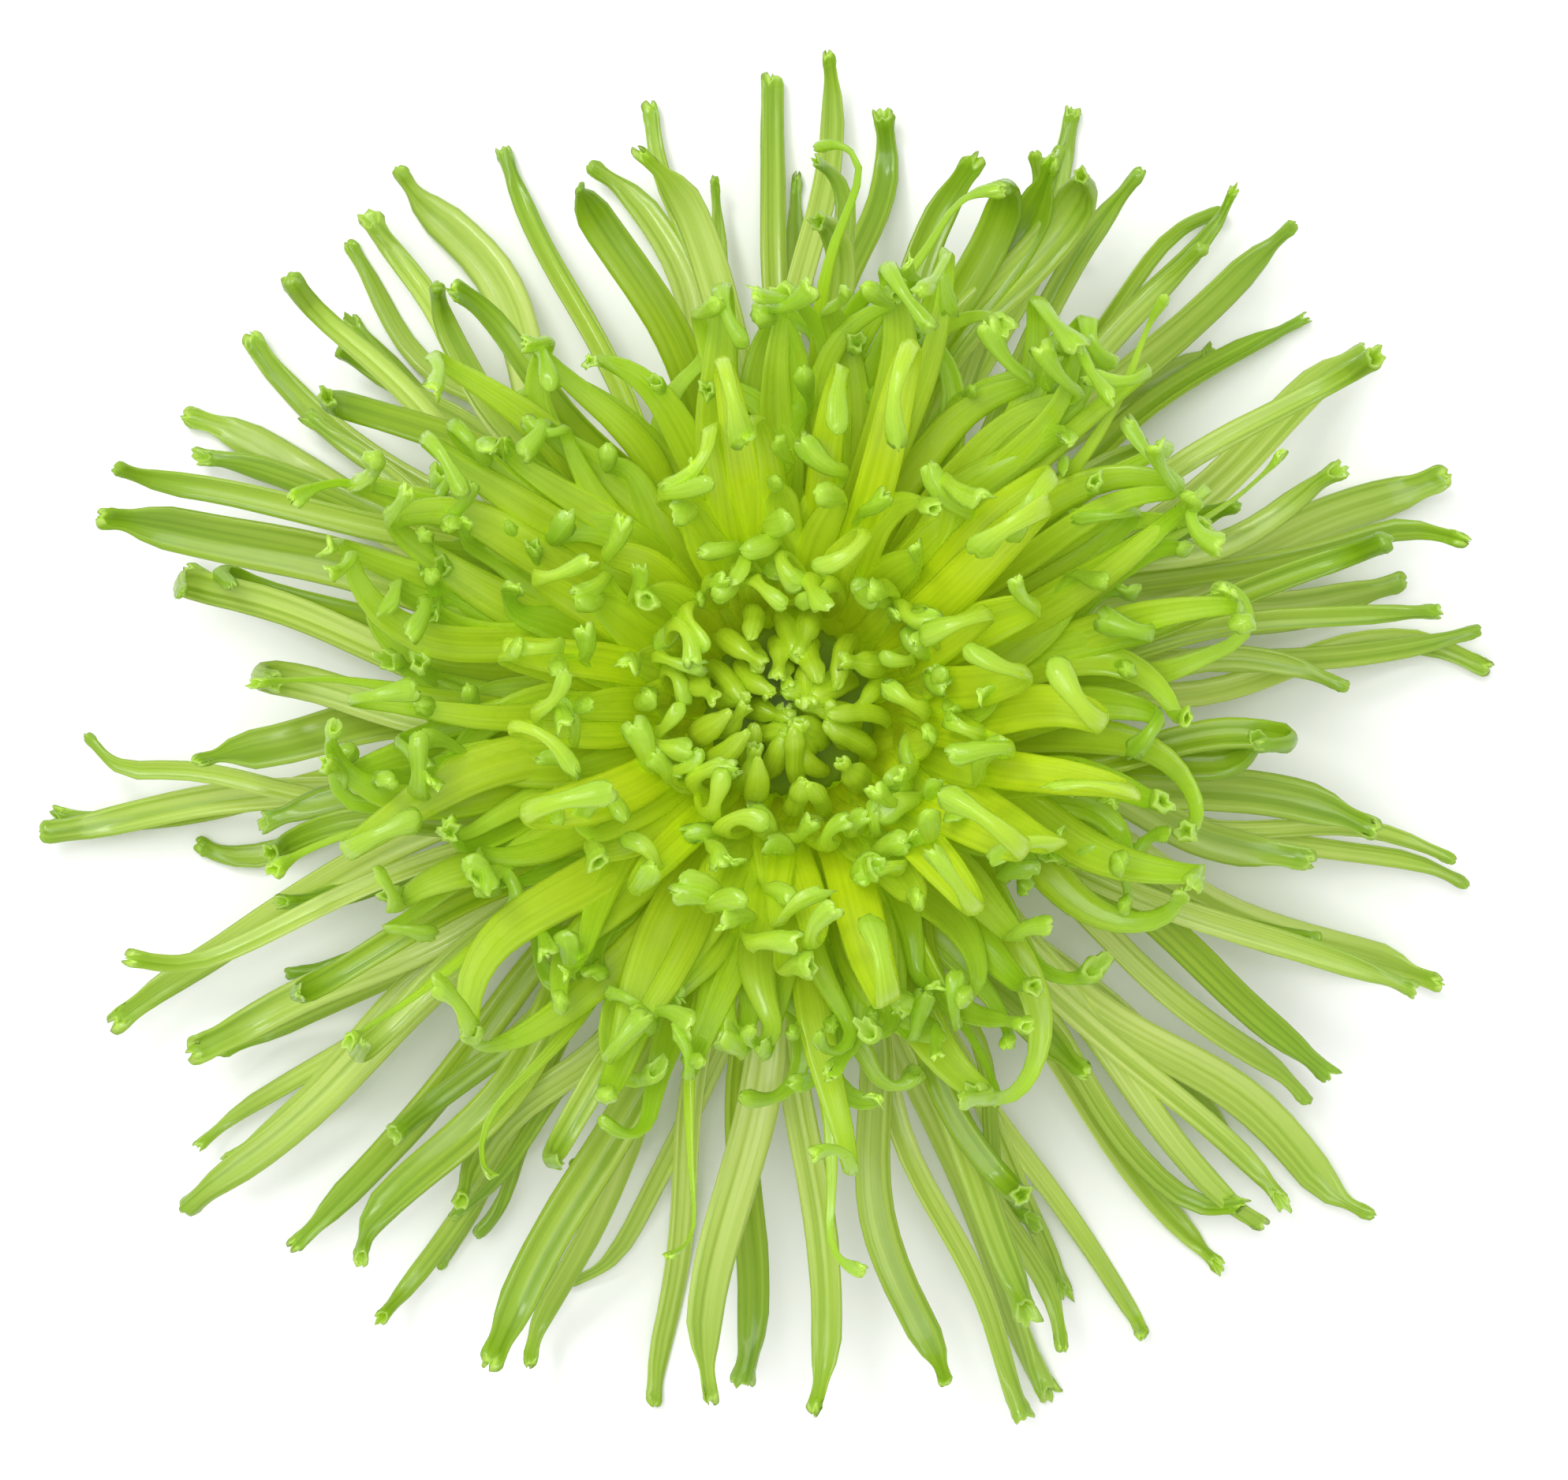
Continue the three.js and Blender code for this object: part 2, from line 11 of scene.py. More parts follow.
import bpy
import numpy as np
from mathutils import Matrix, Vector


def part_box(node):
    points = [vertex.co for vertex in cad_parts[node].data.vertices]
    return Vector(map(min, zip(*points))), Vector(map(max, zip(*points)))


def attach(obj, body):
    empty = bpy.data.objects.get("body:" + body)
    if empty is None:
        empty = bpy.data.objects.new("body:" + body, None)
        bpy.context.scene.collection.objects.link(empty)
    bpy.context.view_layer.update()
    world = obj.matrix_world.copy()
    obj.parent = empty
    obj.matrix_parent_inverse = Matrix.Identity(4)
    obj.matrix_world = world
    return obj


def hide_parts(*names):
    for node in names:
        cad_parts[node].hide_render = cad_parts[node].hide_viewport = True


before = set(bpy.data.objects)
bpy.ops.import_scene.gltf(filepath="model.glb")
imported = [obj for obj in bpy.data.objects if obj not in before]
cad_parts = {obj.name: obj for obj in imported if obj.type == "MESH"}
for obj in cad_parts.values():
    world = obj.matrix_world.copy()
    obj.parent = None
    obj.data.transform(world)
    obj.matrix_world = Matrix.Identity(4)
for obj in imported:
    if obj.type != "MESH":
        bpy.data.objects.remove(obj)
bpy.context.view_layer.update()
MM = 0.001


# ---- The camera ----
# It looks nearly straight down into the bloom, from a little towards its lower side.

CAMERA_DISTANCE = 0.62
CAMERA_ELEVATION = 88.5
VIEW_WIDTH = 0.149  # width of the frame where the bloom is widest
AIM = Vector((0.0017, -0.0006, 0.012))

camera_data = bpy.data.cameras.new("camera")
camera = bpy.data.objects.new("camera", camera_data)
bpy.context.scene.collection.objects.link(camera)
bpy.context.scene.camera = camera
tilt = math.radians(CAMERA_ELEVATION)
camera.location = AIM + CAMERA_DISTANCE * Vector((0, -math.cos(tilt), math.sin(tilt)))
camera.rotation_euler = (math.radians(90 - CAMERA_ELEVATION), 0, 0)
camera_data.sensor_width = 36
camera_data.lens = camera_data.sensor_width * CAMERA_DISTANCE / VIEW_WIDTH
camera_data.clip_start = 0.01


# ---- Outer florets ----
# The real florets are long hollow quills of thin petal tissue, flattened above, each grown from
# an ovary at the rim of the receptacle. The lowest are the longest and palest and lie on the
# surface, and the shorter green ones arch out over them.

STEM_LOW, STEM_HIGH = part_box("stem_and_receptacle")
AXIS = np.array([(STEM_LOW[0] + STEM_HIGH[0]) / 2, (STEM_LOW[1] + STEM_HIGH[1]) / 2]) / MM
STEPS = 144  # straight steps that a spine is added up from
CURL_REACH = 9.0  # how much of its end each floret curls on its own, mm
GOLDEN_ANGLE = 137.5  # from each floret that a rule places to the next
GOLDEN_SHARE = 0.618  # the same spread for a share from 0 to 1

# How the florets of a rank leave the receptacle and bend, in degrees of elevation: start at
# the root, end before the hook, then the turn of the hook, which begins at the given fraction
# of the length. Each angle comes with its random spread. Neighbours leave in three tiers.
RANKS = {
    "lowest": dict(height=10.6, step=0.6, tilt=3, start=(3, 2), end=(-17, 3), hook=(22, 22), hook_at=0.84),
    "low": dict(height=11.9, step=0.5, tilt=3, start=(14, 2), end=(-7, 3), hook=(28, 24), hook_at=0.82),
    "upper": dict(height=13.1, step=0.4, tilt=2, start=(25, 1), end=(0, 3), hook=(80, 40), hook_at=0.78),
    "middle": dict(height=16.2, step=0.9, tilt=2.5, start=(39, 1), end=(13, 2), hook=(150, 40), hook_at=0.7),
    "inner": dict(height=19.4, step=0.3, tilt=0, start=(57, 1), end=(36, 3), hook=(145, 35), hook_at=0.62),
}
OUTER_RING_RADIUS = 11.4
ROOT_DEPTH = 1.6  # how far the roots are sunk into their ring
LOWEST_TIP = 0.4  # height of the lowest tips' spines, and how much higher the next tier's lie
TIP_STEP = 2.5
FLOOR_MARGIN = 0.2

# Bearing and distance of the tip, sideways bend, width, rank, and sideways turn of the tip.
OUTER_FLORETS = [
    (4.2, 67.7, -6, 2.2, "lowest", -10), (7.2, 67, -5, 1.9, "lowest", 0),
    (8.8, 62, -3, 1.7, "low", 0), (2.8, 53, -14, 2, "low", -40),
    (12.5, 60.7, -6, 3.4, "lowest", 0), (16, 58.3, 4, 2.1, "low", 0),
    (14.5, 66, -8, 2.1, "low", -45), (20.3, 67.5, -4, 3.4, "lowest", 0),
    (23.8, 56.8, 3, 2.1, "low", 0), (24.7, 46, 0, 2.5, "upper", 0),
    (32.5, 66.3, 9, 3, "lowest", 0), (31.2, 64, 8, 1.9, "low", 0),
    (37.8, 63.3, -4, 2.1, "lowest", 0), (37, 42, 0, 2.1, "low", 0),
    (44.3, 67.8, 0, 2.8, "lowest", 0), (41, 54, 0, 3, "lowest", 0),
    (48.5, 58.8, 2, 1.9, "low", 0), (50, 66.6, 8, 1.5, "lowest", 15),
    (49.5, 64.5, -14, 1.4, "lowest", 0), (57, 61, 10, 2, "low", 0),
    (60.5, 53.6, 15, 1.4, "lowest", 0), (65, 65, 14, 1.7, "lowest", 0),
    (64.5, 59.6, 0, 1.9, "low", 0), (66.4, 57.3, 0, 1.9, "low", 0),
    (61.5, 56.2, -6, 3.7, "upper", 0), (64.5, 56.7, -2, 3.4, "upper", 0),
    (68, 51.7, 0, 3, "upper", 0), (71.5, 55.6, -6, 2.8, "low", 0),
    (81.3, 59.2, 0, 2.2, "lowest", 0), (86.8, 63.9, 0, 2.1, "lowest", 0),
    (91.7, 62, 6, 2.1, "lowest", 0), (87.5, 52, 14, 1.9, "low", 40),
    (87, 45.4, 0, 2.5, "upper", 50), (89.3, 52.5, -14, 1.7, "lowest", 0),
    (98, 52.6, -4, 1.4, "lowest", 0), (105, 53.4, 16, 2.8, "upper", 30),
    (102.8, 61, -4, 1.5, "lowest", 0), (110, 56.8, 6, 2.6, "lowest", 20),
    (112, 52, 16, 3.2, "upper", 0), (116.8, 62.2, -10, 1.8, "lowest", 0),
    (125.5, 65.2, -4, 3.6, "lowest", 0), (130, 63.6, -8, 2, "lowest", 0),
    (133, 63, -6, 1.8, "lowest", 0), (129.7, 52.2, -10, 2.1, "low", -30),
    (129, 50, 18, 2.2, "upper", 20), (137.7, 58, -4, 2.1, "lowest", 0),
    (139, 62.6, -12, 1.9, "low", -10), (141, 56, -6, 1.7, "lowest", 0),
    (144.6, 64, -8, 2.2, "lowest", 0), (148, 55, 0, 1.8, "lowest", 0),
    (146, 51.6, 10, 2.6, "upper", 15), (153.5, 65.6, -4, 3.2, "lowest", 0),
    (156.3, 63, 0, 2.1, "lowest", 0), (160.2, 67.2, 42, 2.2, "low", 0),
    (164, 67.8, 0, 3.9, "low", 0), (166, 59.7, 0, 1.5, "lowest", 0),
    (169.5, 56.7, -6, 2.6, "upper", -20), (167.5, 52.8, -20, 2.8, "upper", -20),
    (177, 47.6, -2, 2.8, "upper", 0), (181.5, 67.5, -10, 1.7, "lowest", -40),
    (187.5, 72, 0, 1.7, "lowest", 0), (188.8, 73, -4, 2.5, "lowest", 0),
    (185, 55.8, 2, 3.7, "low", 0), (192, 58.5, -6, 2.2, "lowest", 0),
    (191.8, 51.7, 0, 2.5, "low", 0), (195.5, 50, -4, 2.1, "upper", 0),
    (200, 52, 8, 2, "low", 0), (200.5, 66.3, -4, 1.7, "low", -15),
    (204.2, 71, 4, 2.4, "lowest", 0), (209.5, 65.2, 0, 2.9, "low", 0),
    (210.5, 63.7, -8, 1.7, "lowest", 0), (207, 54.3, 2, 2, "lowest", 0),
    (210, 52.5, -20, 2.1, "upper", -10), (216, 70.5, 2, 1.7, "lowest", 0),
    (218.2, 69.3, 8, 1.7, "lowest", 0), (219.3, 74.6, -6, 2.8, "low", 0),
    (218, 49.9, -18, 2.2, "upper", 0), (226.8, 69.6, 8, 2.6, "lowest", 0),
    (226.8, 55, 0, 2, "low", 0), (232, 65.8, 4, 3.4, "low", 0),
    (235.8, 70, 6, 1.7, "lowest", 0), (237.5, 63, 0, 1.3, "lowest", 0),
    (238.8, 58.3, 0, 1.3, "lowest", 0), (236, 57.7, -20, 1.2, "lowest", 0),
    (236, 55.8, -3, 2.5, "low", 0), (245.2, 67.2, 0, 3.2, "low", 0),
    (248, 67, 0, 1.9, "lowest", 0), (248.5, 58.5, -30, 1.7, "lowest", 0),
    (244, 48, -30, 1.6, "lowest", 0), (243.5, 46.5, -25, 2.2, "upper", -15),
    (258.8, 67.6, 3, 2.1, "lowest", 0), (263.3, 65, 4, 3.4, "low", 0),
    (265.8, 64, -3, 2.6, "lowest", 0), (272, 66, 3, 2.6, "low", 0),
    (283, 64.8, 6, 2.8, "low", 0), (288.3, 71, 3, 1.9, "lowest", 0),
    (291, 70, 5, 2.6, "lowest", 0), (291.5, 61.5, 12, 2.6, "low", 0),
    (293.3, 66, 0, 1.9, "lowest", 0), (295.5, 62.2, 10, 1.7, "lowest", 0),
    (299.5, 68.6, 8, 1.7, "lowest", 0), (296, 54.7, -4, 1.3, "lowest", 0),
    (295.5, 49.8, 8, 2.1, "upper", 0), (308, 67.5, 8, 2.2, "lowest", 0),
    (313, 63.7, 14, 1.9, "lowest", 15), (309, 43.8, 18, 2.8, "upper", 15),
    (313, 66.6, -2, 2.2, "lowest", 0), (315.3, 67, 0, 2, "lowest", 0),
    (315.5, 62.6, 0, 1.8, "lowest", 0), (319.5, 73.8, -2, 3.4, "lowest", 0),
    (323.3, 62, -8, 2.2, "lowest", 0), (326.3, 61.8, -4, 2.6, "low", 0),
    (337.8, 67.5, 1, 3.4, "lowest", 0), (336, 64.5, 8, 2.1, "low", 0),
    (336.5, 54.3, 14, 2.1, "low", 0), (346, 67.3, 4, 1.7, "lowest", 0),
    (347.8, 65.2, 0, 1.5, "lowest", 0), (348.7, 56.6, 1, 3.4, "low", 0),
    (344, 51.2, 1, 3, "low", 0), (355.5, 43.3, 5, 2.6, "upper", 0),
    (357, 43.7, 0, 2.6, "upper", 60),
]


def random_source(seed):
    """The same small repeatable random source that the solids use, from 0 up to 1."""
    state = seed
    while True:
        state = (state * 16807) % 2147483647
        yield state / 2147483647


def spread(random, middle, half):
    """A value drawn evenly from middle - half up to middle + half."""
    return middle + (next(random) * 2 - 1) * half


def tier_of(index):
    """Neighbours lie in three tiers: -1, 0 and 1."""
    return index % 3 - 1


def smooth(low, high, value):
    """A soft step from 0 at low to 1 at high."""
    x = np.clip((value - low) / (high - low), 0, 1)
    return x * x * (3 - 2 * x)


def walk(floret, length, turn):
    """Adds up a floret's spine from its root: its points, directions and sides."""
    u = np.linspace(0, 1, STEPS + 1)
    hooked = smooth(floret["hook_at"], 0.97, u)
    rise = floret["start"] + (floret["end"] - floret["start"]) * u**0.8 + floret["hook"] * hooked
    heading = turn + floret["bow"] * u + floret["side_turn"] * hooked
    heading = heading + floret.get("arc", 0) * smooth(floret["hook_at"] - 0.2, 1, u)
    curled = smooth(1 - min(0.35, CURL_REACH / length), 1, u)
    rise = np.radians(rise + floret["curl"] * curled)
    heading = np.radians(heading + floret["wag"] * curled)
    flat = np.cos(rise)
    along = np.stack([flat * np.cos(heading), flat * np.sin(heading), np.sin(rise)], axis=1)
    side = np.stack([-np.sin(heading), np.cos(heading), np.zeros_like(u)], axis=1)
    root_turn = math.radians(turn)
    root = np.array([
        floret["root_radius"] * math.cos(root_turn),
        floret["root_radius"] * math.sin(root_turn),
        floret["root_height"],
    ])
    steps = (along[:-1] + along[1:]) / 2 * length / STEPS
    points = root + np.concatenate([np.zeros((1, 3)), np.cumsum(steps, axis=0)])
    return dict(u=u, points=points, along=along, side=side, length=length)


def spine_to(floret, bearing, distance):
    """Finds the length and the root's bearing that bring the tip to its place."""
    length, turn = distance, bearing
    for _ in range(8):
        tip = walk(floret, length, turn)["points"][-1]
        reached = math.hypot(tip[0], tip[1])
        length *= 1 + 0.9 * (distance - reached) / max(distance, reached)
        off = bearing - math.degrees(math.atan2(tip[1], tip[0]))
        turn += (off + 540) % 360 - 180
    return walk(floret, length, turn)


def settle(spine, level):
    """Bends a low floret in height, so that its tip lies at the given level."""
    drop = level - spine["points"][-1, 2]
    spine["points"][:, 2] += drop * spine["u"] ** 2


def outline(u, points):
    """A soft curve through [share of length, value] pairs."""
    dense = np.linspace(0, 1, 241)
    known = np.array(points)
    value = np.interp(dense, known[:, 0], known[:, 1])
    padded = np.concatenate([np.full(6, value[0]), value, np.full(6, value[-1])])
    value = np.convolve(padded, np.hanning(15)[1:-1] / np.hanning(15)[1:-1].sum(), mode="valid")
    return np.interp(u, dense, value)


QUILL = [(0, 0.35), (0.2, 0.62), (0.45, 0.95), (0.7, 1), (0.88, 0.93), (1, 0.8)]

# The tip's width as a share of its knob, by distance back from the end in mm. An outer floret keeps
# its width to the end, where it is shut or gapes.
PLAIN = [
    (0, 0.4), (0.06, 0.58), (0.18, 0.78), (0.4, 0.94), (0.8, 1.03), (1.3, 1.02), (2, 0.98),
    (2.9, 0.98), (4, 1),
]
FLARED = [(0, 0.86), (0.1, 0.95), (0.3, 1.02), (0.7, 1.03), (1.2, 1), (1.8, 0.96), (2.9, 0.94), (4, 1)]

# Where the tip is drawn: mm back from the end, and for a mouth's lining, mm back in and its width
# as a share of the lip's.
TIP_STATIONS = [4.8, 4.0, 3.3, 2.75, 2.3, 1.9, 1.55, 1.25, 1.0, 0.78, 0.58, 0.4, 0.27, 0.16, 0.07, 0]
LINER = [(0.12, 0.78), (0.5, 0.6), (1, 0.42), (1.5, 0.16)]


def floret_rows(spine, width, look, chance):
    """The stations of one floret from its root to its lip and back in: what the tree reads."""
    length = spine["length"]
    scale = look["tip_scale"]
    body = np.linspace(length, TIP_STATIONS[0] * scale, look["stations"], endpoint=False)
    from_tip = np.concatenate([body, np.array(TIP_STATIONS) * scale])
    kind = chance.random()
    spoon = kind < look["spoons"]
    gapes = kind > 1 - look["gaping"]
    # How pale the rim and margins are painted: partly the paler thin tissue, partly a painted highlight
    # along the edges.
    thin = 0.8 if gapes else 1.0 if spoon else 0.2
    liner = np.array([back for back, _ in LINER]) * (scale if gapes else 0)
    outside = len(from_tip)
    from_tip = np.concatenate([from_tip, liner])
    share = 1 - from_tip / length
    at = {k: np.stack([np.interp(share, spine["u"], spine[k][:, i]) for i in range(3)], axis=1)
          for k in ("points", "along", "side")}
    side = at["side"] / np.linalg.norm(at["side"], axis=1, keepdims=True)
    along = at["along"] / np.linalg.norm(at["along"], axis=1, keepdims=True)
    above = np.cross(along, side)
    twist = np.radians(chance.normal(0, look["twist"])) * (share - 0.3)
    cos, sin = np.cos(twist)[:, None], np.sin(twist)[:, None]
    side, above = side * cos + above * sin, above * cos - side * sin
    sway = look["sway"] * chance.uniform(0.3, 1) * 4 * share * (1 - share)
    swing = chance.uniform(0, 2 * math.pi)
    waves = chance.uniform(0.5, 1.3)
    drift = sway * np.sin(2 * math.pi * waves * share + swing)
    lift = 0.4 * sway * np.sin(2 * math.pi * waves * 1.3 * share + swing * 2)
    points = at["points"] + side * drift[:, None] + above * lift[:, None]

    knob = min(chance.uniform(*look["knob"]), chance.uniform(*look["knob_share"]) * width)
    back = from_tip / scale
    tip = knob * np.interp(back, *np.array(look["tips"][2 if gapes else 1 if spoon else 0]).T)
    into_tip = 1 - smooth(2.4, 6.5, back)
    wide = outline(share, look["outline"]) * width
    wide = (wide + (tip - wide) * into_tip) / 2
    flatness = chance.uniform(*look["flatness"])
    tip_flatness = 0.35 if spoon else chance.uniform(*look["knob_flatness"])
    deep = wide * (flatness + (tip_flatness - flatness) * into_tip)
    tip_gutter = chance.uniform(0.3, 0.9) if spoon else 0
    gutter = chance.uniform(*look["gutter"])
    gutter = wide * (gutter + (tip_gutter - gutter) * into_tip)
    teeth = chance.uniform(*look["teeth"]) * (0.6 if gapes else 1 if spoon else 0.25)
    near = 1 - smooth(0.5, 2.3, back)
    rim = thin * (1 - smooth(0, 0.4, back))
    for k, (_, shrink) in enumerate(LINER):
        inner = wide[outside - 1] * shrink
        gutter[outside + k] *= (inner / wide[outside + k]) ** 2
        wide[outside + k] = inner
        deep[outside + k] = deep[outside - 1] * shrink
        near[outside + k] = 1 - 0.25 * k
        rim[outside + k] = thin * (0.8, 0.3, 0, 0)[k]
    low = 1.15 * deep + FLOOR_MARGIN + np.maximum(0, -gutter)
    points[:, 2] = low + np.logaddexp(0, (points[:, 2] - low) * 4) / 4
    same = np.ones_like(share)
    return dict(
        spine=points * MM,
        along=along,
        side=side,
        above=above,
        half_width=wide * MM,
        half_depth=deep * MM,
        share=np.clip(share, 0, 1),
        groove=chance.uniform(*look["groove"]) * (1 - into_tip),
        gutter=gutter * MM,
        near_tip=near,
        rim=rim,
        edge=thin * into_tip,
        mouth=np.clip(1 - back / 4.5, 0, 1),
        lobes=same * chance.uniform(*look["lobes"]) * (1 if gapes else 0.5),
        teeth=same * teeth * MM,
        slant=same * (chance.uniform(*look["slant"]) if gapes else 0) * MM,
        inside=np.where(np.arange(len(share)) >= outside, 1.0 if gapes else 0.0, 0.0),
        tone=same * (look["tone"] + chance.normal(0, look["tone_spread"])),
        chance=same * chance.uniform(0, 50),
    )


def add(tree, kind, settings=None, **inputs):
    """A node with its settings, and its inputs by name: a value, or the output that feeds it."""
    node = tree.nodes.new(kind)
    for name, value in (settings or {}).items():
        setattr(node, name, value)
    for name, value in inputs.items():
        wanted = name.replace("_", " ").lower()
        socket = next(s for s in node.inputs if s.enabled and s.name.lower() == wanted)
        if isinstance(value, bpy.types.NodeSocket):
            tree.links.new(value, socket)
        else:
            socket.default_value = value
    return node


def calc(tree, operation, *values):
    """The output of a Math node."""
    node = tree.nodes.new("ShaderNodeMath")
    node.operation = operation
    for socket, value in zip(node.inputs, values):
        if isinstance(value, bpy.types.NodeSocket):
            tree.links.new(value, socket)
        else:
            socket.default_value = value
    return node.outputs[0]


def scaled(tree, vector, scale):
    """The output of a Vector Math node that scales a vector."""
    node = tree.nodes.new("ShaderNodeVectorMath")
    node.operation = "SCALE"
    tree.links.new(vector, node.inputs[0])
    if isinstance(scale, bpy.types.NodeSocket):
        tree.links.new(scale, node.inputs["Scale"])
    else:
        node.inputs["Scale"].default_value = scale
    return node.outputs[0]


def summed(tree, first, *others):
    """The sum of vectors."""
    total = first
    for vector in others:
        node = tree.nodes.new("ShaderNodeVectorMath")
        tree.links.new(total, node.inputs[0])
        tree.links.new(vector, node.inputs[1])
        total = node.outputs[0]
    return total


def field(tree, name, kind="FLOAT"):
    """What the spines carry under a name, read in the tree."""
    node = add(tree, "GeometryNodeInputNamedAttribute", dict(data_type=kind), Name=name)
    return next(s for s in node.outputs if s.enabled and s.name == "Attribute")


def new_tree(name, takes, numbers, makes):
    """A Geometry Nodes tree from one mesh to another: the tree, and what it is given by name."""
    tree = bpy.data.node_groups.new(name, "GeometryNodeTree")
    face = tree.interface
    face.new_socket(takes, in_out="INPUT", socket_type="NodeSocketGeometry")
    for label, value in numbers.items():
        kind = "NodeSocketInt" if isinstance(value, int) else "NodeSocketFloat"
        face.new_socket(label, in_out="INPUT", socket_type=kind).default_value = value
    face.new_socket("Material", in_out="INPUT", socket_type="NodeSocketMaterial")
    face.new_socket(makes, in_out="OUTPUT", socket_type="NodeSocketGeometry")
    return tree, tree.nodes.new("NodeGroupInput").outputs


def end_tree(tree, made, material):
    """Ends a tree: what is made becomes real and gets its material."""
    real = add(tree, "GeometryNodeRealizeInstances", Geometry=made)
    dressed = add(tree, "GeometryNodeSetMaterial", Geometry=real.outputs[0], Material=material)
    tree.links.new(dressed.outputs[0], tree.nodes.new("NodeGroupOutput").inputs[0])


def tube_tree():
    """Draws a closed tube round every spine, ribbed, grooved above and lobed at its mouth."""
    tree, given = new_tree("Tubes along spines", "Spines", {
        "Points around": 14,
        "Ribs": 7.0,
        "Rib height": 0.03,
        "Wrinkle height": 0.00008,
        "Lump height": 0.0007,
    }, "Tubes")
    plus = partial(calc, tree, "ADD")
    minus = partial(calc, tree, "SUBTRACT")
    times = partial(calc, tree, "MULTIPLY")
    times_plus = partial(calc, tree, "MULTIPLY_ADD")

    curves = add(tree, "GeometryNodeMeshToCurve", Mesh=given["Spines"]).outputs["Curve"]
    ring = add(tree, "GeometryNodeCurvePrimitiveCircle", Resolution=given["Points around"], Radius=MM)
    way_round = tree.nodes.new("GeometryNodeSplineParameter").outputs["Factor"]
    turn = times(way_round, 2 * math.pi)
    marked = ring.outputs["Curve"]
    for name, value in (
        ("turn", turn), ("across", calc(tree, "COSINE", turn)), ("upward", calc(tree, "SINE", turn))):
        marked = add(
            tree, "GeometryNodeStoreNamedAttribute", Geometry=marked, Name=name, Value=value).outputs[0]
    tubes = add(
        tree, "GeometryNodeCurveToMesh", Curve=curves, Profile_Curve=marked, Fill_Caps=True)

    angle = field(tree, "turn")
    chance = field(tree, "chance")
    near_tip = field(tree, "near_tip")
    across = calc(tree, "COSINE", angle)
    upward = calc(tree, "SINE", angle)
    three = calc(tree, "COSINE", plus(times(angle, 3.0), chance))
    five = calc(tree, "COSINE", plus(times(angle, 5.0), times(chance, 2.0)))
    lobes = times(plus(times(three, 0.4), times(five, 0.6)), near_tip)
    ribs = calc(tree, "COSINE", plus(times(angle, given["Ribs"]), chance))
    ribs = times(ribs, minus(1.0, near_tip))
    swell = times_plus(lobes, field(tree, "lobes"), 1.0)
    swell = times_plus(ribs, given["Rib height"], swell)

    # The groove along the top: a soft dip where the ring faces up, between its two edges.
    dip = calc(tree, "POWER", minus(1.0, times(across, across)), 3.0)
    dip = times(dip, calc(tree, "MAXIMUM", upward, 0.0))
    dip = times(dip, field(tree, "groove"))
    high = minus(times(upward, swell), times(dip, 1.3))
    x = times(times(across, swell), field(tree, "half_width"))
    y = times(high, field(tree, "half_depth"))
    y = times_plus(times(across, across), field(tree, "gutter"), y)

    # The lip: teeth at its lobes, and a slant that opens it above, or below if it is negative.
    teeth = times(lobes, field(tree, "teeth"))
    slant = field(tree, "slant")
    cut = times_plus(upward, slant, calc(tree, "ABSOLUTE", slant))
    cut = times(cut, times(field(tree, "mouth"), 0.5))
    reach = minus(teeth, cut)

    # Soft wrinkles, longer than they are wide.
    place = add(
        tree, "ShaderNodeCombineXYZ", X=times(across, 1.4), Y=times(upward, 1.4),
        Z=times(field(tree, "share"), 9.0))
    noise = add(
        tree, "ShaderNodeTexNoise", dict(noise_dimensions="4D"), Vector=place.outputs[0], W=chance,
        Scale=1.0, Detail=2.0)
    wrinkle = times(minus(noise.outputs[0], 0.5), given["Wrinkle height"])

    # Lumps on the tip, about a millimetre across.
    place = add(tree, "ShaderNodeCombineXYZ", X=across, Y=upward).outputs[0]
    place = summed(tree, place, scaled(tree, field(tree, "spine", "FLOAT_VECTOR"), 900.0))
    noise = add(tree, "ShaderNodeTexNoise", Vector=place, Scale=1.0, Detail=2.0)
    lump = times(minus(noise.outputs[0], 0.5), given["Lump height"])
    wrinkle = times_plus(lump, near_tip, wrinkle)
    x = times_plus(across, wrinkle, x)
    y = times_plus(upward, wrinkle, y)

    place = summed(
        tree,
        field(tree, "spine", "FLOAT_VECTOR"),
        scaled(tree, field(tree, "side", "FLOAT_VECTOR"), x),
        scaled(tree, field(tree, "above", "FLOAT_VECTOR"), y),
        scaled(tree, field(tree, "along", "FLOAT_VECTOR"), reach),
    )
    shaped = add(tree, "GeometryNodeSetPosition", Geometry=tubes.outputs["Mesh"], Position=place)
    soft = add(tree, "GeometryNodeSetShadeSmooth", Geometry=shaped.outputs[0], Shade_Smooth=True)
    end_tree(tree, soft.outputs[0], given["Material"])
    return tree


def made_by(tree, source, name, **inputs):
    """What a tree makes of an object, as a plain mesh of its own."""
    modifier = source.modifiers.new("tree", "NODES")
    modifier.node_group = tree
    for item in tree.interface.items_tree:
        wanted = item.name.lower().replace(" ", "_")
        if item.in_out == "INPUT" and wanted in inputs:
            modifier[item.identifier] = inputs[wanted]
    bpy.context.view_layer.update()
    graph = bpy.context.evaluated_depsgraph_get()
    mesh = bpy.data.meshes.new_from_object(source.evaluated_get(graph), depsgraph=graph)
    mesh.name = name
    piece = bpy.data.objects.new(name, mesh)
    bpy.context.scene.collection.objects.link(piece)
    source.modifiers.remove(modifier)
    return piece


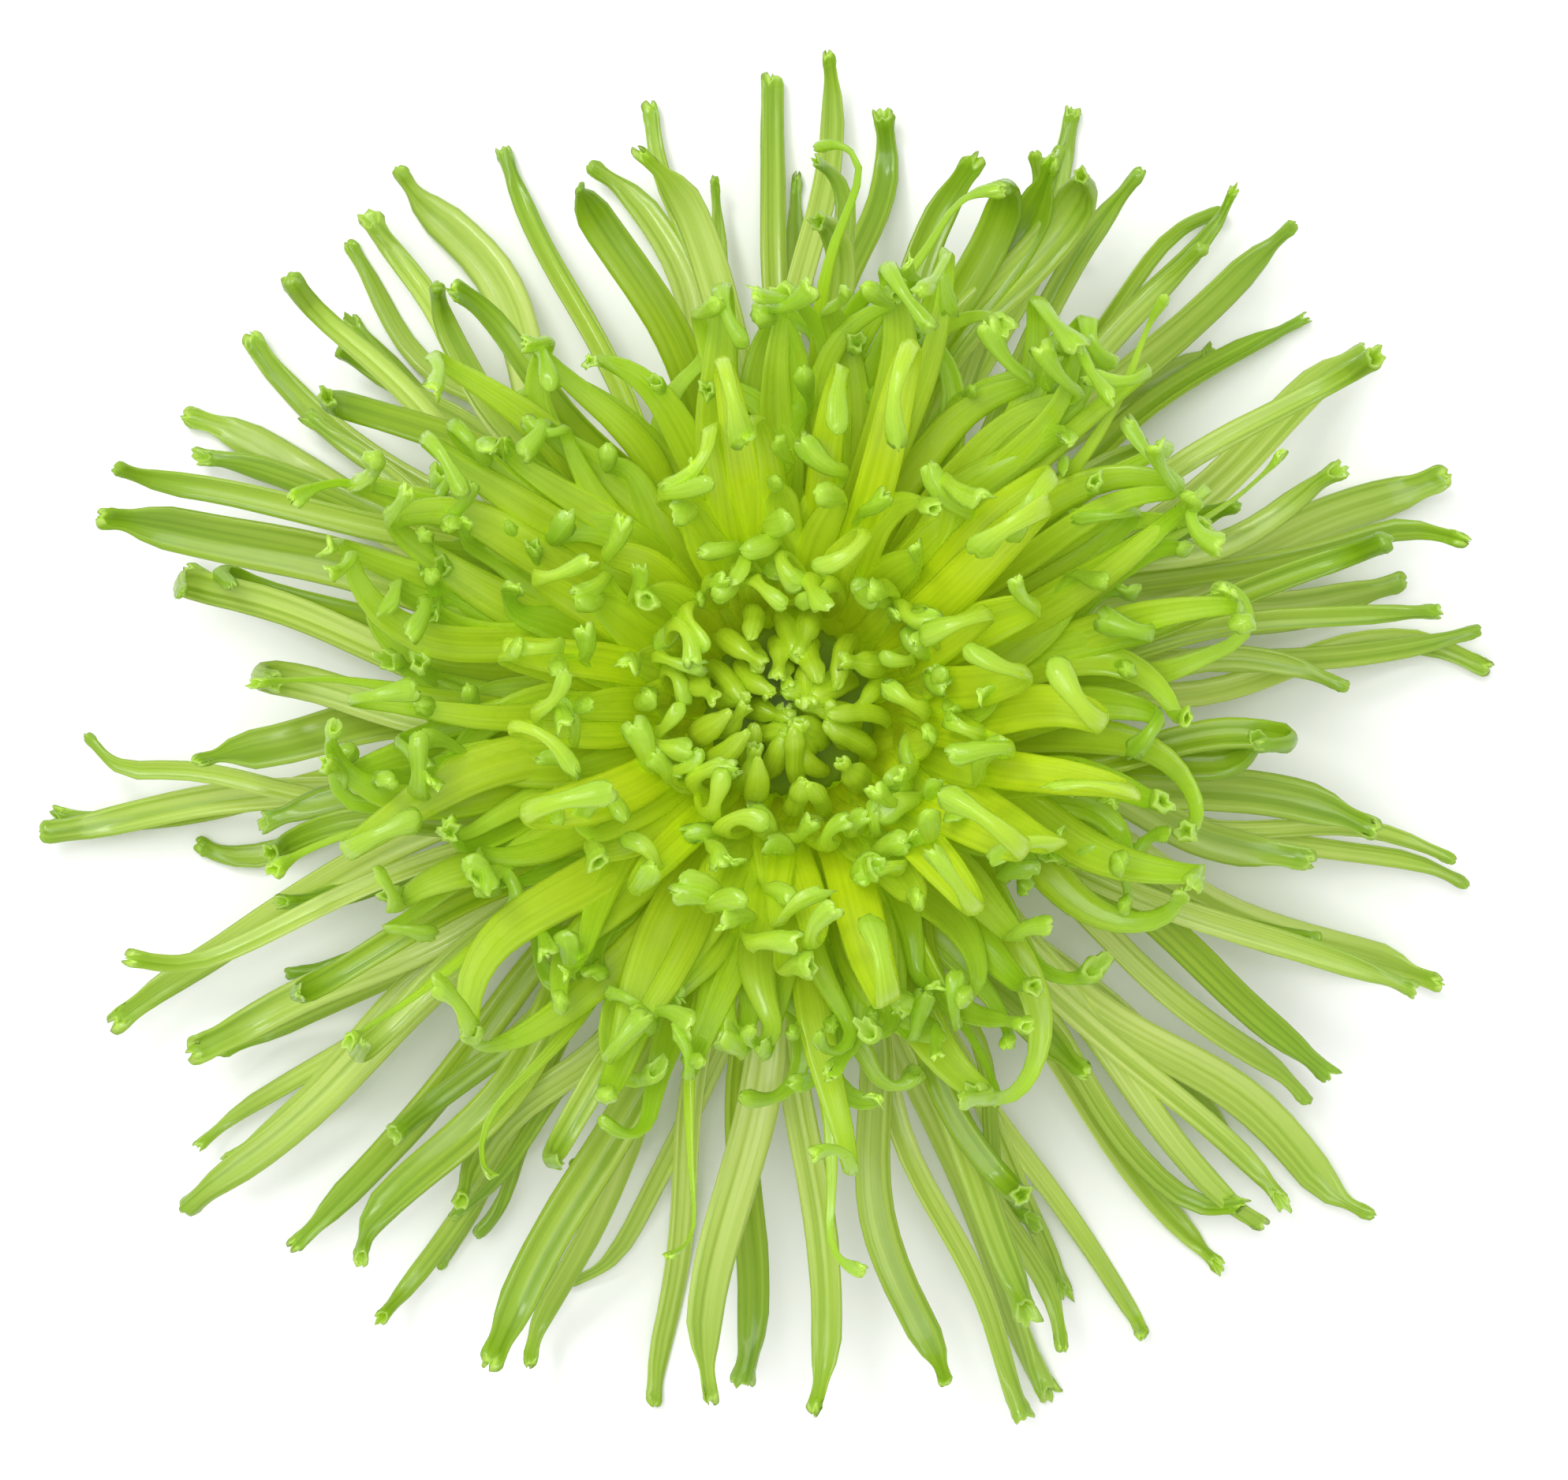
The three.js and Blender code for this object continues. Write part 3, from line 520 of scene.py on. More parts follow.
def grow(name, rows, tree, material, **sizes):
    """One mesh from many spines, which are moved to the bloom's axis: what the tree draws of them."""
    for row in rows:
        row["spine"][:, :2] += AXIS * MM
    counts = [len(row["share"]) for row in rows]
    starts = np.cumsum([0] + counts[:-1])
    edges = [(s + k, s + k + 1) for s, n in zip(starts, counts) for k in range(n - 1)]
    mesh = bpy.data.meshes.new(name + "_spines")
    mesh.from_pydata(np.concatenate([row["spine"] for row in rows]).tolist(), edges, [])
    for key in rows[0]:
        values = np.concatenate([row[key] for row in rows]).astype(np.float32)
        kind = ("FLOAT_VECTOR", "vector") if values.ndim == 2 else ("FLOAT", "value")
        mesh.attributes.new(key, kind[0], "POINT").data.foreach_set(kind[1], values.ravel())
    spines = bpy.data.objects.new(name + "_spines", mesh)
    bpy.context.scene.collection.objects.link(spines)
    piece = made_by(tree, spines, name, material=material, **sizes)
    bpy.data.objects.remove(spines)
    return piece


def empty_material(name):
    """A material with nothing in its tree, and the tree."""
    material = bpy.data.materials.new(name)
    material.use_nodes = True
    material.node_tree.nodes.clear()
    return material, material.node_tree


def skin_on(tree, **inputs):
    """A Principled shader with the given inputs, joined to the material's output."""
    skin = add(tree, "ShaderNodeBsdfPrincipled", **inputs)
    tree.links.new(skin.outputs[0], tree.nodes.new("ShaderNodeOutputMaterial").inputs["Surface"])
    return skin


def mark(tree, name):
    """What the mesh carries under a name, read in a shader."""
    return add(tree, "ShaderNodeAttribute", dict(attribute_name=name)).outputs["Fac"]


def petal_marks():
    """What every petal shows: fine veins that run along it, and a faint mottle."""
    group = bpy.data.node_groups.new("Petal marks", "ShaderNodeTree")
    face = group.interface
    for name, value in (("Veins around", 5.0), ("Veins along", 1.2), ("Mottle size", 900.0)):
        face.new_socket(name, in_out="INPUT", socket_type="NodeSocketFloat").default_value = value
    for name in ("Veins", "Mottle", "Height"):
        face.new_socket(name, in_out="OUTPUT", socket_type="NodeSocketFloat")
    given = group.nodes.new("NodeGroupInput").outputs
    own = calc(group, "MULTIPLY", mark(group, "chance"), 3.7)
    place = add(
        group, "ShaderNodeCombineXYZ",
        X=calc(group, "MULTIPLY", mark(group, "across"), given["Veins around"]),
        Y=calc(group, "MULTIPLY", mark(group, "upward"), given["Veins around"]),
        Z=calc(group, "MULTIPLY_ADD", mark(group, "share"), given["Veins along"], own))
    veins = add(
        group, "ShaderNodeTexNoise", Vector=place.outputs[0], Scale=1.0, Detail=2.0,
        Roughness=0.5).outputs[0]
    where = add(group, "ShaderNodeTexCoord").outputs["Object"]
    mottle = add(
        group, "ShaderNodeTexNoise", Vector=where, Scale=given["Mottle size"], Detail=1.0).outputs[0]
    made = group.nodes.new("NodeGroupOutput")
    group.links.new(veins, made.inputs["Veins"])
    group.links.new(mottle, made.inputs["Mottle"])
    group.links.new(calc(group, "MULTIPLY_ADD", mottle, 0.35, veins), made.inputs["Height"])
    return group


PETAL_MARKS = petal_marks()


def ramp(tree, factor, stops):
    """A colour ramp from [place, (red, green, blue)] pairs."""
    node = tree.nodes.new("ShaderNodeValToRGB")
    elements = node.color_ramp.elements
    while len(elements) < len(stops):
        elements.new(0.5)
    for element, (place, color) in zip(elements, stops):
        element.position = place
        element.color = (*color, 1)
    tree.links.new(factor, node.inputs["Fac"])
    return node.outputs["Color"]


def mixed(tree, factor, first, second, way="MIX"):
    """The output of a Mix Color node."""
    node = tree.nodes.new("ShaderNodeMix")
    node.data_type = "RGBA"
    node.blend_type = way
    for socket, value in zip((node.inputs[0], node.inputs[6], node.inputs[7]), (factor, first, second)):
        if isinstance(value, bpy.types.NodeSocket):
            tree.links.new(value, socket)
        else:
            socket.default_value = value if isinstance(value, (int, float)) else (*value, 1)
    return node.outputs[2]


# Painted shade: the lining inside a gaping mouth is darkened towards this deeper green.
MOUTH_SHADE_GREEN = (0.20, 0.36, 0.01)  # inside a mouth
# Margins and rims of the tips: partly paler thin tissue, partly a painted highlight.
PALE_RIM_AND_HIGHLIGHT = (0.52, 0.68, 0.17)


def petal_material(name, pale, green, lip, roughness=0.42, streaks=0.4, veins=5.0):
    """Petal skin: two courses of colour from root to tip, mixed by each floret's own tone."""
    material, tree = empty_material(name)
    share = mark(tree, "share")
    near_tip = mark(tree, "near_tip")
    times = partial(calc, tree, "MULTIPLY")
    group = tree.nodes.new("ShaderNodeGroup")
    group.node_tree = PETAL_MARKS
    group.inputs["Veins around"].default_value = veins
    color = mixed(tree, mark(tree, "tone"), ramp(tree, share, pale), ramp(tree, share, green))
    fine = add(tree, "ShaderNodeMapRange", Value=group.outputs["Veins"], From_Min=0.35, From_Max=0.65)
    shade = ramp(tree, fine.outputs[0], [(0, (0.75, 0.82, 0.5)), (0.5, (1, 1, 1)), (1, (1.2, 1.14, 1.7))])
    color = mixed(tree, streaks, color, shade, "MULTIPLY")
    color = mixed(tree, times(near_tip, 0.4), color, lip)
    # Painted shade: the lining inside a gaping mouth is darkened.
    color = mixed(tree, times(mark(tree, "inside"), 0.5), color, MOUTH_SHADE_GREEN)
    # Pale margins and rims at the tips: partly the paler thin tissue, partly a painted highlight along the
    # edges.
    margin = calc(tree, "POWER", calc(tree, "ABSOLUTE", mark(tree, "across")), 6.0)
    margin = times(times(margin, mark(tree, "edge")), 0.5)
    rim = calc(tree, "MAXIMUM", margin, mark(tree, "rim"))
    color = mixed(tree, times(rim, 0.4), color, PALE_RIM_AND_HIGHLIGHT)
    rough = add(
        tree, "ShaderNodeMapRange", Value=group.outputs["Mottle"], From_Min=0.3, From_Max=0.7,
        To_Min=roughness - 0.08, To_Max=roughness + 0.08).outputs[0]
    rough = calc(tree, "SUBTRACT", rough, times(near_tip, 0.14))
    bump = add(
        tree, "ShaderNodeBump", Strength=0.35, Distance=0.00012, Height=group.outputs["Height"])
    # The faint glow in the petal's own colour is painted light: it stands in for light that comes through
    # the thin petals and lifts the shade in the crevices.
    skin = skin_on(
        tree, Base_Color=color, Roughness=rough, Normal=bump.outputs[0], IOR=1.34,
        Coat_Weight=0.3, Coat_Roughness=0.15, Emission_Color=color, Emission_Strength=0.09,
        Subsurface_Weight=0.55, Subsurface_Radius=(1.0, 1.1, 0.3), Subsurface_Scale=0.0015)
    skin.subsurface_method = "BURLEY"
    return material


TUBES = tube_tree()

OUTER_PETAL = petal_material(
    "outer_petal",
    pale=[
        (0, (0.45, 0.56, 0.05)), (0.3, (0.52, 0.62, 0.15)), (0.7, (0.37, 0.49, 0.081)),
        (1, (0.21, 0.34, 0.022)),
    ],
    green=[
        (0, (0.42, 0.54, 0.006)), (0.35, (0.29, 0.42, 0.008)), (0.75, (0.19, 0.31, 0.007)),
        (1, (0.14, 0.27, 0.008)),
    ],
    lip=(0.17, 0.31, 0.016), streaks=1.0, veins=2.6)

# How the tubes of one kind are drawn. The tips are its shut, spoon-shaped and gaping forms. Pairs
# are ranges that each floret draws from: the knob in mm and as a share of the width, depths as a
# share of the width, and the teeth and the lip's slant in mm.
OUTER_LOOK = dict(
    outline=QUILL, tips=(PLAIN, PLAIN, FLARED), stations=22, tip_scale=1.0, twist=25, sway=3.0,
    flatness=(0.32, 0.46), knob=(1.3, 2.8), knob_share=(0.5, 0.95), knob_flatness=(0.5, 0.9),
    spoons=0.3, gaping=0.35, lobes=(0.15, 0.4), teeth=(0.4, 1.2), groove=(0.1, 0.9),
    gutter=(-0.2, 0.45), slant=(-0.8, 2.2), tone=0.0, tone_spread=0.42)
OUTER_FULLER = 1.22  # soft tissue bulges past the measured width of the flattened tube
TONES = {"lowest": 0.25, "low": 0.55, "upper": 0.95}

random = random_source(4127)
chance = np.random.default_rng(51)
outer_rows = []
for index, (bearing, distance, bow, width, rank_name, side_turn) in enumerate(OUTER_FLORETS):
    rank = RANKS[rank_name]
    tier = tier_of(index)
    spine = spine_to(dict(
        root_radius=OUTER_RING_RADIUS - ROOT_DEPTH,
        root_height=rank["height"] + tier * rank["step"],
        start=spread(random, *rank["start"]) + tier * rank["tilt"],
        end=spread(random, *rank["end"]) + tier * rank["tilt"],
        hook=spread(random, *rank["hook"]),
        hook_at=rank["hook_at"],
        bow=bow,
        side_turn=side_turn,
        curl=chance.normal(15, 22),
        wag=chance.normal(0, 14),
    ), bearing, distance)
    lift = next(random)
    if rank_name == "lowest":
        settle(spine, LOWEST_TIP + TIP_STEP * (tier + 1) + lift)
    look = dict(OUTER_LOOK, tone=TONES[rank_name])
    outer_rows.append(floret_rows(spine, width * OUTER_FULLER, look, chance))

outer_florets = grow(
    "outer_quill_florets", outer_rows, TUBES, OUTER_PETAL, points_around=16, ribs=4.0,
    rib_height=0.03, wrinkle_height=0.00025)
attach(outer_florets, "root")
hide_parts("outer_florets")


# ---- Middle florets ----
# Shorter quills of the same tissue, which rise steeply and hook up or back over themselves, so
# that their small open tips stand out as bright knobs.

MIDDLE_RING_RADIUS = 10.4
MIDDLE_FLORETS = [
    (6.4, 31), (16, 29.5), (21.6, 31), (34.6, 31.5), (36.4, 34.5), (43.3, 34.5), (46.5, 43),
    (50.6, 41.5), (69.7, 36.5), (73.5, 29.7), (82.5, 38), (88, 31), (94.8, 36), (97, 33),
    (105, 30), (113, 33), (120.5, 36), (125, 29.5), (126, 41), (136.8, 33.4), (137.6, 27.3),
    (138.5, 43), (141, 35.6), (147.5, 28), (146.8, 31), (150, 34), (151, 39.5), (149.5, 44),
    (153.8, 40), (156, 27.5), (155, 37), (161.5, 44), (164, 43), (166, 33.5), (167.8, 38.6),
    (170, 35.6), (176, 30), (182, 41), (184, 34), (187, 43), (191, 37), (196.7, 35), (201, 41),
    (208.4, 32.5), (217, 41), (224.8, 29), (232, 34), (245, 39), (249, 28.6), (256.3, 33.4),
    (263, 29.5), (273, 41), (275.7, 34), (289, 29.6), (292.5, 39), (292.8, 34.5), (300, 31),
    (307, 36.7), (311, 34), (320, 31), (331.9, 30.2), (335, 33.4), (334.7, 39.7), (341.8, 37),
    (343.5, 30.6), (345.5, 35), (352, 32), (358, 36),
]
HOOK = [(0, 0.5), (0.2, 0.85), (0.42, 1), (0.56, 0.93), (0.67, 0.72), (0.77, 0.5), (0.87, 0.4), (1, 0.36)]

# A hooked floret ends in a drop that is shut, in a blade or in a ladle that gapes.
DROP = [
    (0, 0.1), (0.06, 0.3), (0.18, 0.52), (0.4, 0.75), (0.8, 0.94), (1.3, 1), (2, 0.94), (2.9, 0.76),
    (4, 0.54), (5.5, 0.42),
]
BLADE = [
    (0, 0.45), (0.06, 0.64), (0.18, 0.84), (0.4, 0.98), (0.8, 1.03), (1.3, 1), (2, 0.88), (2.9, 0.72),
    (4, 0.56),
]
LADLE = [(0, 0.68), (0.1, 0.78), (0.3, 0.9), (0.7, 1), (1.2, 1.02), (1.8, 0.96), (2.9, 0.74), (4, 0.54)]

MIDDLE_LOOK = dict(
    outline=HOOK, tips=(DROP, BLADE, LADLE), stations=24, tip_scale=0.95, twist=35, sway=2.2,
    flatness=(0.3, 0.42), knob=(1.4, 2.5), knob_share=(0.7, 1), knob_flatness=(0.6, 0.9), spoons=0.3,
    gaping=0.4, lobes=(0.2, 0.6), teeth=(0.3, 0.9), groove=(0.0, 0.5), gutter=(-0.2, 0.4),
    slant=(0.4, 2.8), tone=0.6, tone_spread=0.25)
MIDDLE_PETAL = petal_material(
    "middle_petal",
    pale=[
        (0, (0.45, 0.58, 0.009)), (0.4, (0.39, 0.53, 0.02)), (0.8, (0.32, 0.49, 0.032)),
        (1, (0.29, 0.48, 0.036)),
    ],
    green=[
        (0, (0.43, 0.56, 0.005)), (0.4, (0.35, 0.50, 0.009)), (0.8, (0.25, 0.44, 0.014)),
        (1, (0.23, 0.41, 0.018)),
    ],
    lip=(0.29, 0.47, 0.028), roughness=0.34)

MIDDLE_FILLERS = 84  # further, narrower ones between those that the list places
OPEN_BEARINGS = [(103, 127), (305, 322), (347, 360), (0, 9)]  # where the bloom has gaps

def in_gap(bearing):
    """Whether a bearing points into one of the gaps."""
    return any(low <= bearing % 360 <= high for low, high in OPEN_BEARINGS)


def last_bend(chance, sickles, arcs):
    """How the last stretch curls: a share like sickles at the end, and a share in one long arc."""
    kind = chance.random()
    if kind < sickles:
        curl = chance.normal(-70, 20)
        way = chance.choice([-1, 1])
        return dict(curl=curl, wag=way * chance.uniform(80, 150), arc=0)
    if kind > 1 - arcs:
        way = chance.choice([-1, 1])
        curl = chance.normal(-50, 25)
        return dict(curl=curl, wag=way * chance.uniform(0, 60), arc=way * chance.uniform(50, 110))
    return dict(curl=chance.normal(5, 40), wag=chance.normal(0, 75), arc=0)


def middle_row(index, bearing, distance, random, chance, widened):
    """The stations of one middle floret, which stands steeper the nearer its tip is."""
    rank = RANKS["middle"]
    tier = tier_of(index)
    steeper = (38 - distance) * 0.35
    spine = spine_to(dict(
        root_radius=MIDDLE_RING_RADIUS - ROOT_DEPTH,
        root_height=rank["height"] + tier * rank["step"],
        start=spread(random, *rank["start"]) + tier * rank["tilt"] + steeper,
        end=spread(random, *rank["end"]) + tier * rank["tilt"],
        hook=spread(random, *rank["hook"]),
        hook_at=rank["hook_at"],
        bow=spread(random, 0, 8) + chance.normal(0, 11),
        side_turn=spread(random, 0, 36),
        **last_bend(chance, 0.25, 0.45),
    ), bearing, distance)
    return floret_rows(spine, spread(random, 3.0, 0.5) * widened, MIDDLE_LOOK, chance)


random = random_source(977)
chance = np.random.default_rng(52)
middle_rows = [
    middle_row(i, *tip, random, chance, widened=1.35) for i, tip in enumerate(MIDDLE_FLORETS)]
for k in range(MIDDLE_FILLERS):
    if not in_gap(GOLDEN_ANGLE * k):
        distance = 26 + 16 * (k * GOLDEN_SHARE % 1)
        middle_rows.append(middle_row(k, GOLDEN_ANGLE * k, distance, random, chance, widened=1.0))

middle_florets = grow(
    "middle_hooked_florets", middle_rows, TUBES, MIDDLE_PETAL, points_around=14, ribs=5.0,
    rib_height=0.012, wrinkle_height=0.0003)
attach(middle_florets, "root")
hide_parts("middle_florets")


# Shorter ones of them fill the angle between the spread outer florets and the raised ones.
SHOULDER_FLORETS = 60
SHOULDER_TURN = 20  # degrees, clear of the middle ones
SHOULDER_ROOT_DEPTH = 1.4


def shoulder_row(k, chance):
    """The stations of one floret of the shoulder. Every fourth is a thin stray."""
    step = k * GOLDEN_SHARE % 1
    stray = 1 if k % 4 == 1 else 0
    spine = spine_to(dict(
        root_radius=MIDDLE_RING_RADIUS - SHOULDER_ROOT_DEPTH,
        root_height=14.6 + 1.2 * step,
        start=30 + 6 * step + chance.normal(0, 3),
        end=4 + 8 * step + chance.normal(0, 4),
        hook=chance.normal(90, 40) * (1 - 0.75 * stray),
        hook_at=0.74,
        bow=chance.normal(0, 8) * (1 + 1.5 * stray),
        side_turn=chance.normal(0, 25),
        **last_bend(chance, 0.25 * (1 - stray), 0.45 * (1 - stray)),
    ), GOLDEN_ANGLE * k + SHOULDER_TURN, 33 + 11 * (k * 0.755 % 1) + 8 * stray)
    return floret_rows(spine, chance.uniform(2.8, 4.2) * (1 - 0.55 * stray), MIDDLE_LOOK, chance)


chance = np.random.default_rng(56)
shoulder_rows = [
    shoulder_row(k, chance) for k in range(SHOULDER_FLORETS)
    if not in_gap(GOLDEN_ANGLE * k + SHOULDER_TURN)]

shoulder_florets = grow(
    "shoulder_florets", shoulder_rows, TUBES, MIDDLE_PETAL, points_around=14, ribs=5.0,
    rib_height=0.012, wrinkle_height=0.0003)
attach(shoulder_florets, "root")


# ---- Inner florets ----
# Nearly upright quills round the crater, yellow-green, lighter and yellower towards their roots,
# where the colour is partly painted light that stands in for light coming through the thin petals.
# Their tips lean in over the middle and end in flat paddles.

INNER_RING_RADIUS = 8.6
INNER_FLORETS = [
    (4.5, 17.3), (10, 24), (18.6, 16.7), (26, 14), (29, 23.3), (37, 24.6), (35.6, 14.3),
    (39, 21.4), (53, 22), (52, 18.6), (63.6, 13), (66, 21), (73.6, 12.2), (81, 12.7), (83, 19.3),
    (90, 17.2), (93.7, 20.6), (99, 24), (98, 13), (107.5, 15), (109, 21.4), (116, 12.4),
    (119.8, 16.3), (123, 20.3), (130, 13), (136.5, 19), (145, 16), (153.5, 21.8), (156, 13.8),
    (159.7, 20), (167.6, 24.9), (165, 15.4), (171, 20.8), (174, 13), (180, 18), (186.5, 14.5),
    (192, 23.4), (199, 13.3), (205.7, 17.8), (207, 23.6), (215, 18.4), (212, 12.2),
    (220, 22.6), (229.8, 14.8), (238, 20), (245.4, 16), (252.9, 21), (258, 13), (265.4, 13),
    (271, 21.3), (282, 19), (275.4, 24), (289.8, 20.4), (286, 13), (292, 17.7), (298.5, 16.5),
    (303.5, 21), (307, 13), (321.3, 13), (313, 18), (324, 18.4), (322, 23.3), (334.4, 12.4),
    (328.8, 15.7), (341, 24), (350, 20), (359.3, 15),
]
INNER_LOOK = dict(
    outline=HOOK, tips=(DROP, BLADE, LADLE), stations=24, tip_scale=1.25, twist=35, sway=1.0,
    flatness=(0.3, 0.42), knob=(1.5, 2.7), knob_share=(0.6, 1), knob_flatness=(0.45, 0.75), spoons=0.4,
    gaping=0.2, lobes=(0.1, 0.4), teeth=(0.3, 0.9), groove=(0.0, 0.4), gutter=(-0.2, 0.4),
    slant=(0.4, 2.8), tone=0.5, tone_spread=0.25)
# The root ends of these courses are partly painted light: lighter and yellower, as light coming through the
# thin petals makes them.
INNER_PETAL = petal_material(
    "inner_petal",
    pale=[
        (0, (0.52, 0.65, 0.007)), (0.4, (0.47, 0.62, 0.011)), (0.8, (0.39, 0.56, 0.027)),
        (1, (0.34, 0.54, 0.036)),
    ],
    green=[
        (0, (0.50, 0.63, 0.005)), (0.4, (0.44, 0.58, 0.007)), (0.8, (0.32, 0.50, 0.018)),
        (1, (0.28, 0.48, 0.027)),
    ],
    lip=(0.30, 0.49, 0.029), roughness=0.34)

INNER_FILLERS = 38
INNER_ROOT_DEPTH = 1.4


def inner_row(index, bearing, distance, random, chance, widened):
    """The stations of one inner floret, which stands steeper the nearer its tip is."""
    rank = RANKS["inner"]
    tier = tier_of(index)
    steeper = 20 - distance
    spine = spine_to(dict(
        root_radius=INNER_RING_RADIUS - INNER_ROOT_DEPTH - steeper * 0.08,
        root_height=rank["height"] + tier * rank["step"],
        start=spread(random, *rank["start"]) + tier * rank["tilt"] + steeper * 0.8,
        end=spread(random, *rank["end"]) + tier * rank["tilt"] + steeper * 2.2,
        hook=spread(random, *rank["hook"]) - steeper * 3,
        hook_at=rank["hook_at"],
        bow=spread(random, 0, 6),
        side_turn=spread(random, 0, 24),
        **last_bend(chance, 0.2, 0.35),
    ), bearing, distance)
    return floret_rows(spine, spread(random, 2.8, 0.5) * widened, INNER_LOOK, chance)


random = random_source(3203)
chance = np.random.default_rng(53)
inner_rows = [
    inner_row(i, *tip, random, chance, widened=1.45) for i, tip in enumerate(INNER_FLORETS)]
for k in range(INNER_FILLERS):
    distance = 13 + 13 * (k * GOLDEN_SHARE % 1)
    inner_rows.append(inner_row(k, GOLDEN_ANGLE * k + 40, distance, random, chance, widened=1.15))

inner_florets = grow(
    "inner_upright_florets", inner_rows, TUBES, INNER_PETAL, points_around=14, ribs=5.0,
    rib_height=0.01, wrinkle_height=0.0003)
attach(inner_florets, "root")
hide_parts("inner_florets")


# Half-grown ones stand inside them and close over the rim of the buds.
YOUNG_FLORETS = 34
YOUNG_LOOK = dict(INNER_LOOK, tip_scale=0.8, flatness=(0.4, 0.6), knob=(1.5, 2.4), spoons=0.35, gaping=0.15)


def young_row(k, chance):
    """The stations of one half-grown floret between the crater's wall and the buds."""
    step = k * GOLDEN_SHARE % 1
    spine = walk(dict(
        root_radius=8.3 + 0.5 * step,
        root_height=23.0,
        start=chance.normal(50, 5),
        end=chance.normal(88, 9),
        hook=chance.normal(75, 25),
        hook_at=0.58,
        bow=chance.normal(0, 12),
        side_turn=chance.normal(0, 40),
        curl=chance.normal(0, 30),
        wag=chance.normal(0, 60),
    ), chance.uniform(14, 18), GOLDEN_ANGLE * k)
    return floret_rows(spine, chance.uniform(2.4, 3.4), YOUNG_LOOK, chance)


chance = np.random.default_rng(57)
young_rows = [young_row(k, chance) for k in range(YOUNG_FLORETS)]

young_florets = grow(
    "half_grown_florets", young_rows, TUBES, INNER_PETAL, points_around=16, ribs=5.0,
    rib_height=0.01, wrinkle_height=0.0003)
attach(young_florets, "root")


# ---- Centre florets ----
# Unopened buds, short and fat, which close over a small dark eye in the middle.

CENTRE_ROOF = 26.4  # height of the dome that the buds stand on
CENTRE_WHORLS = [
    dict(count=6, radius=1.6, length=5.2, width=1.5, start=80, end=112),
    dict(count=10, radius=3.6, length=9.6, width=1.95, start=58, end=150),
    dict(count=14, radius=5.7, length=11.0, width=2.05, start=48, end=158),
    dict(count=18, radius=7.5, length=12.2, width=2.15, start=42, end=156),
]
BUD = [(0, 0.4), (0.25, 0.5), (0.45, 0.9), (0.62, 1.05), (0.8, 0.95), (0.92, 0.75), (1, 0.6)]
POINTED = [
    (0, 0.1), (0.06, 0.3), (0.18, 0.45), (0.4, 0.58), (0.8, 0.72), (1.3, 0.85), (2, 1), (2.9, 1.2),
    (4, 1.4),
]
CENTRE_LOOK = dict(
    outline=BUD, tips=(POINTED, BLADE, LADLE), stations=28, tip_scale=0.5, twist=15, sway=0.5,
    flatness=(0.62, 0.85), knob=(1.3, 1.8), knob_share=(0.9, 1), knob_flatness=(0.7, 0.9), spoons=0.25,
    gaping=0.1, lobes=(0.1, 0.3), teeth=(0.2, 0.8), groove=(0.0, 0.5), gutter=(-0.1, 0.3),
    slant=(-0.4, 0.4), tone=0.4, tone_spread=0.2)
CENTRE_PETAL = petal_material(
    "centre_bud",
    pale=[
        (0, (0.35, 0.48, 0.004)), (0.4, (0.37, 0.49, 0.009)), (0.8, (0.34, 0.49, 0.017)),
        (1, (0.32, 0.48, 0.025)),
    ],
    green=[
        (0, (0.28, 0.42, 0.004)), (0.4, (0.30, 0.45, 0.008)), (0.8, (0.28, 0.44, 0.009)),
        (1, (0.27, 0.42, 0.017)),
    ],
    lip=(0.32, 0.49, 0.03), roughness=0.33)

random = random_source(611)
chance = np.random.default_rng(54)
centre_rows = []
whorl_turn = 0
for whorl in CENTRE_WHORLS:
    for k in range(whorl["count"]):
        bud = dict(
            root_radius=whorl["radius"] + spread(random, 0, 0.4),
            root_height=CENTRE_ROOF - 1,
            start=whorl["start"] + spread(random, 0, 6),
            end=whorl["end"] + spread(random, 0, 20),
            hook=0,
            hook_at=0.9,
            bow=spread(random, 0, 45),
            side_turn=0,
            curl=0,
            wag=0,
        )
        bearing = whorl_turn + (360 / whorl["count"]) * (k + 0.5 * (next(random) - 0.5))
        spine = walk(bud, whorl["length"] * (0.88 + 0.24 * next(random)), bearing)
        width = whorl["width"] * (0.88 + 0.24 * next(random)) * chance.uniform(0.8, 1.2)
        centre_rows.append(floret_rows(spine, width, CENTRE_LOOK, chance))
    whorl_turn += GOLDEN_ANGLE

centre_florets = grow(
    "centre_buds", centre_rows, TUBES, CENTRE_PETAL, points_around=20, ribs=5.0,
    rib_height=0.01, wrinkle_height=0.0002)
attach(centre_florets, "root")
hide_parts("centre_florets")


# ---- Ovaries ----
# Every floret stands on an ovary, and some 300 of them are packed over the receptacle as a
# ribbed dome. It shows only in the depth between the florets, and its dark green is painted shade
# for that depth.

OVARY_PROFILE = [
    (4.9, 9.6), (10.9, 9.8), (11.2, 12.0), (10.9, 14.4), (10.1, 15.2), (10.0, 18.0), (8.4, 18.8),
    (8.3, 21.2), (7.0, 22.0), (7.9, 25.4), (7.2, 26.3), (4.0, 26.9), (1.0, 27.1),
]
OVARIES_AROUND = 44


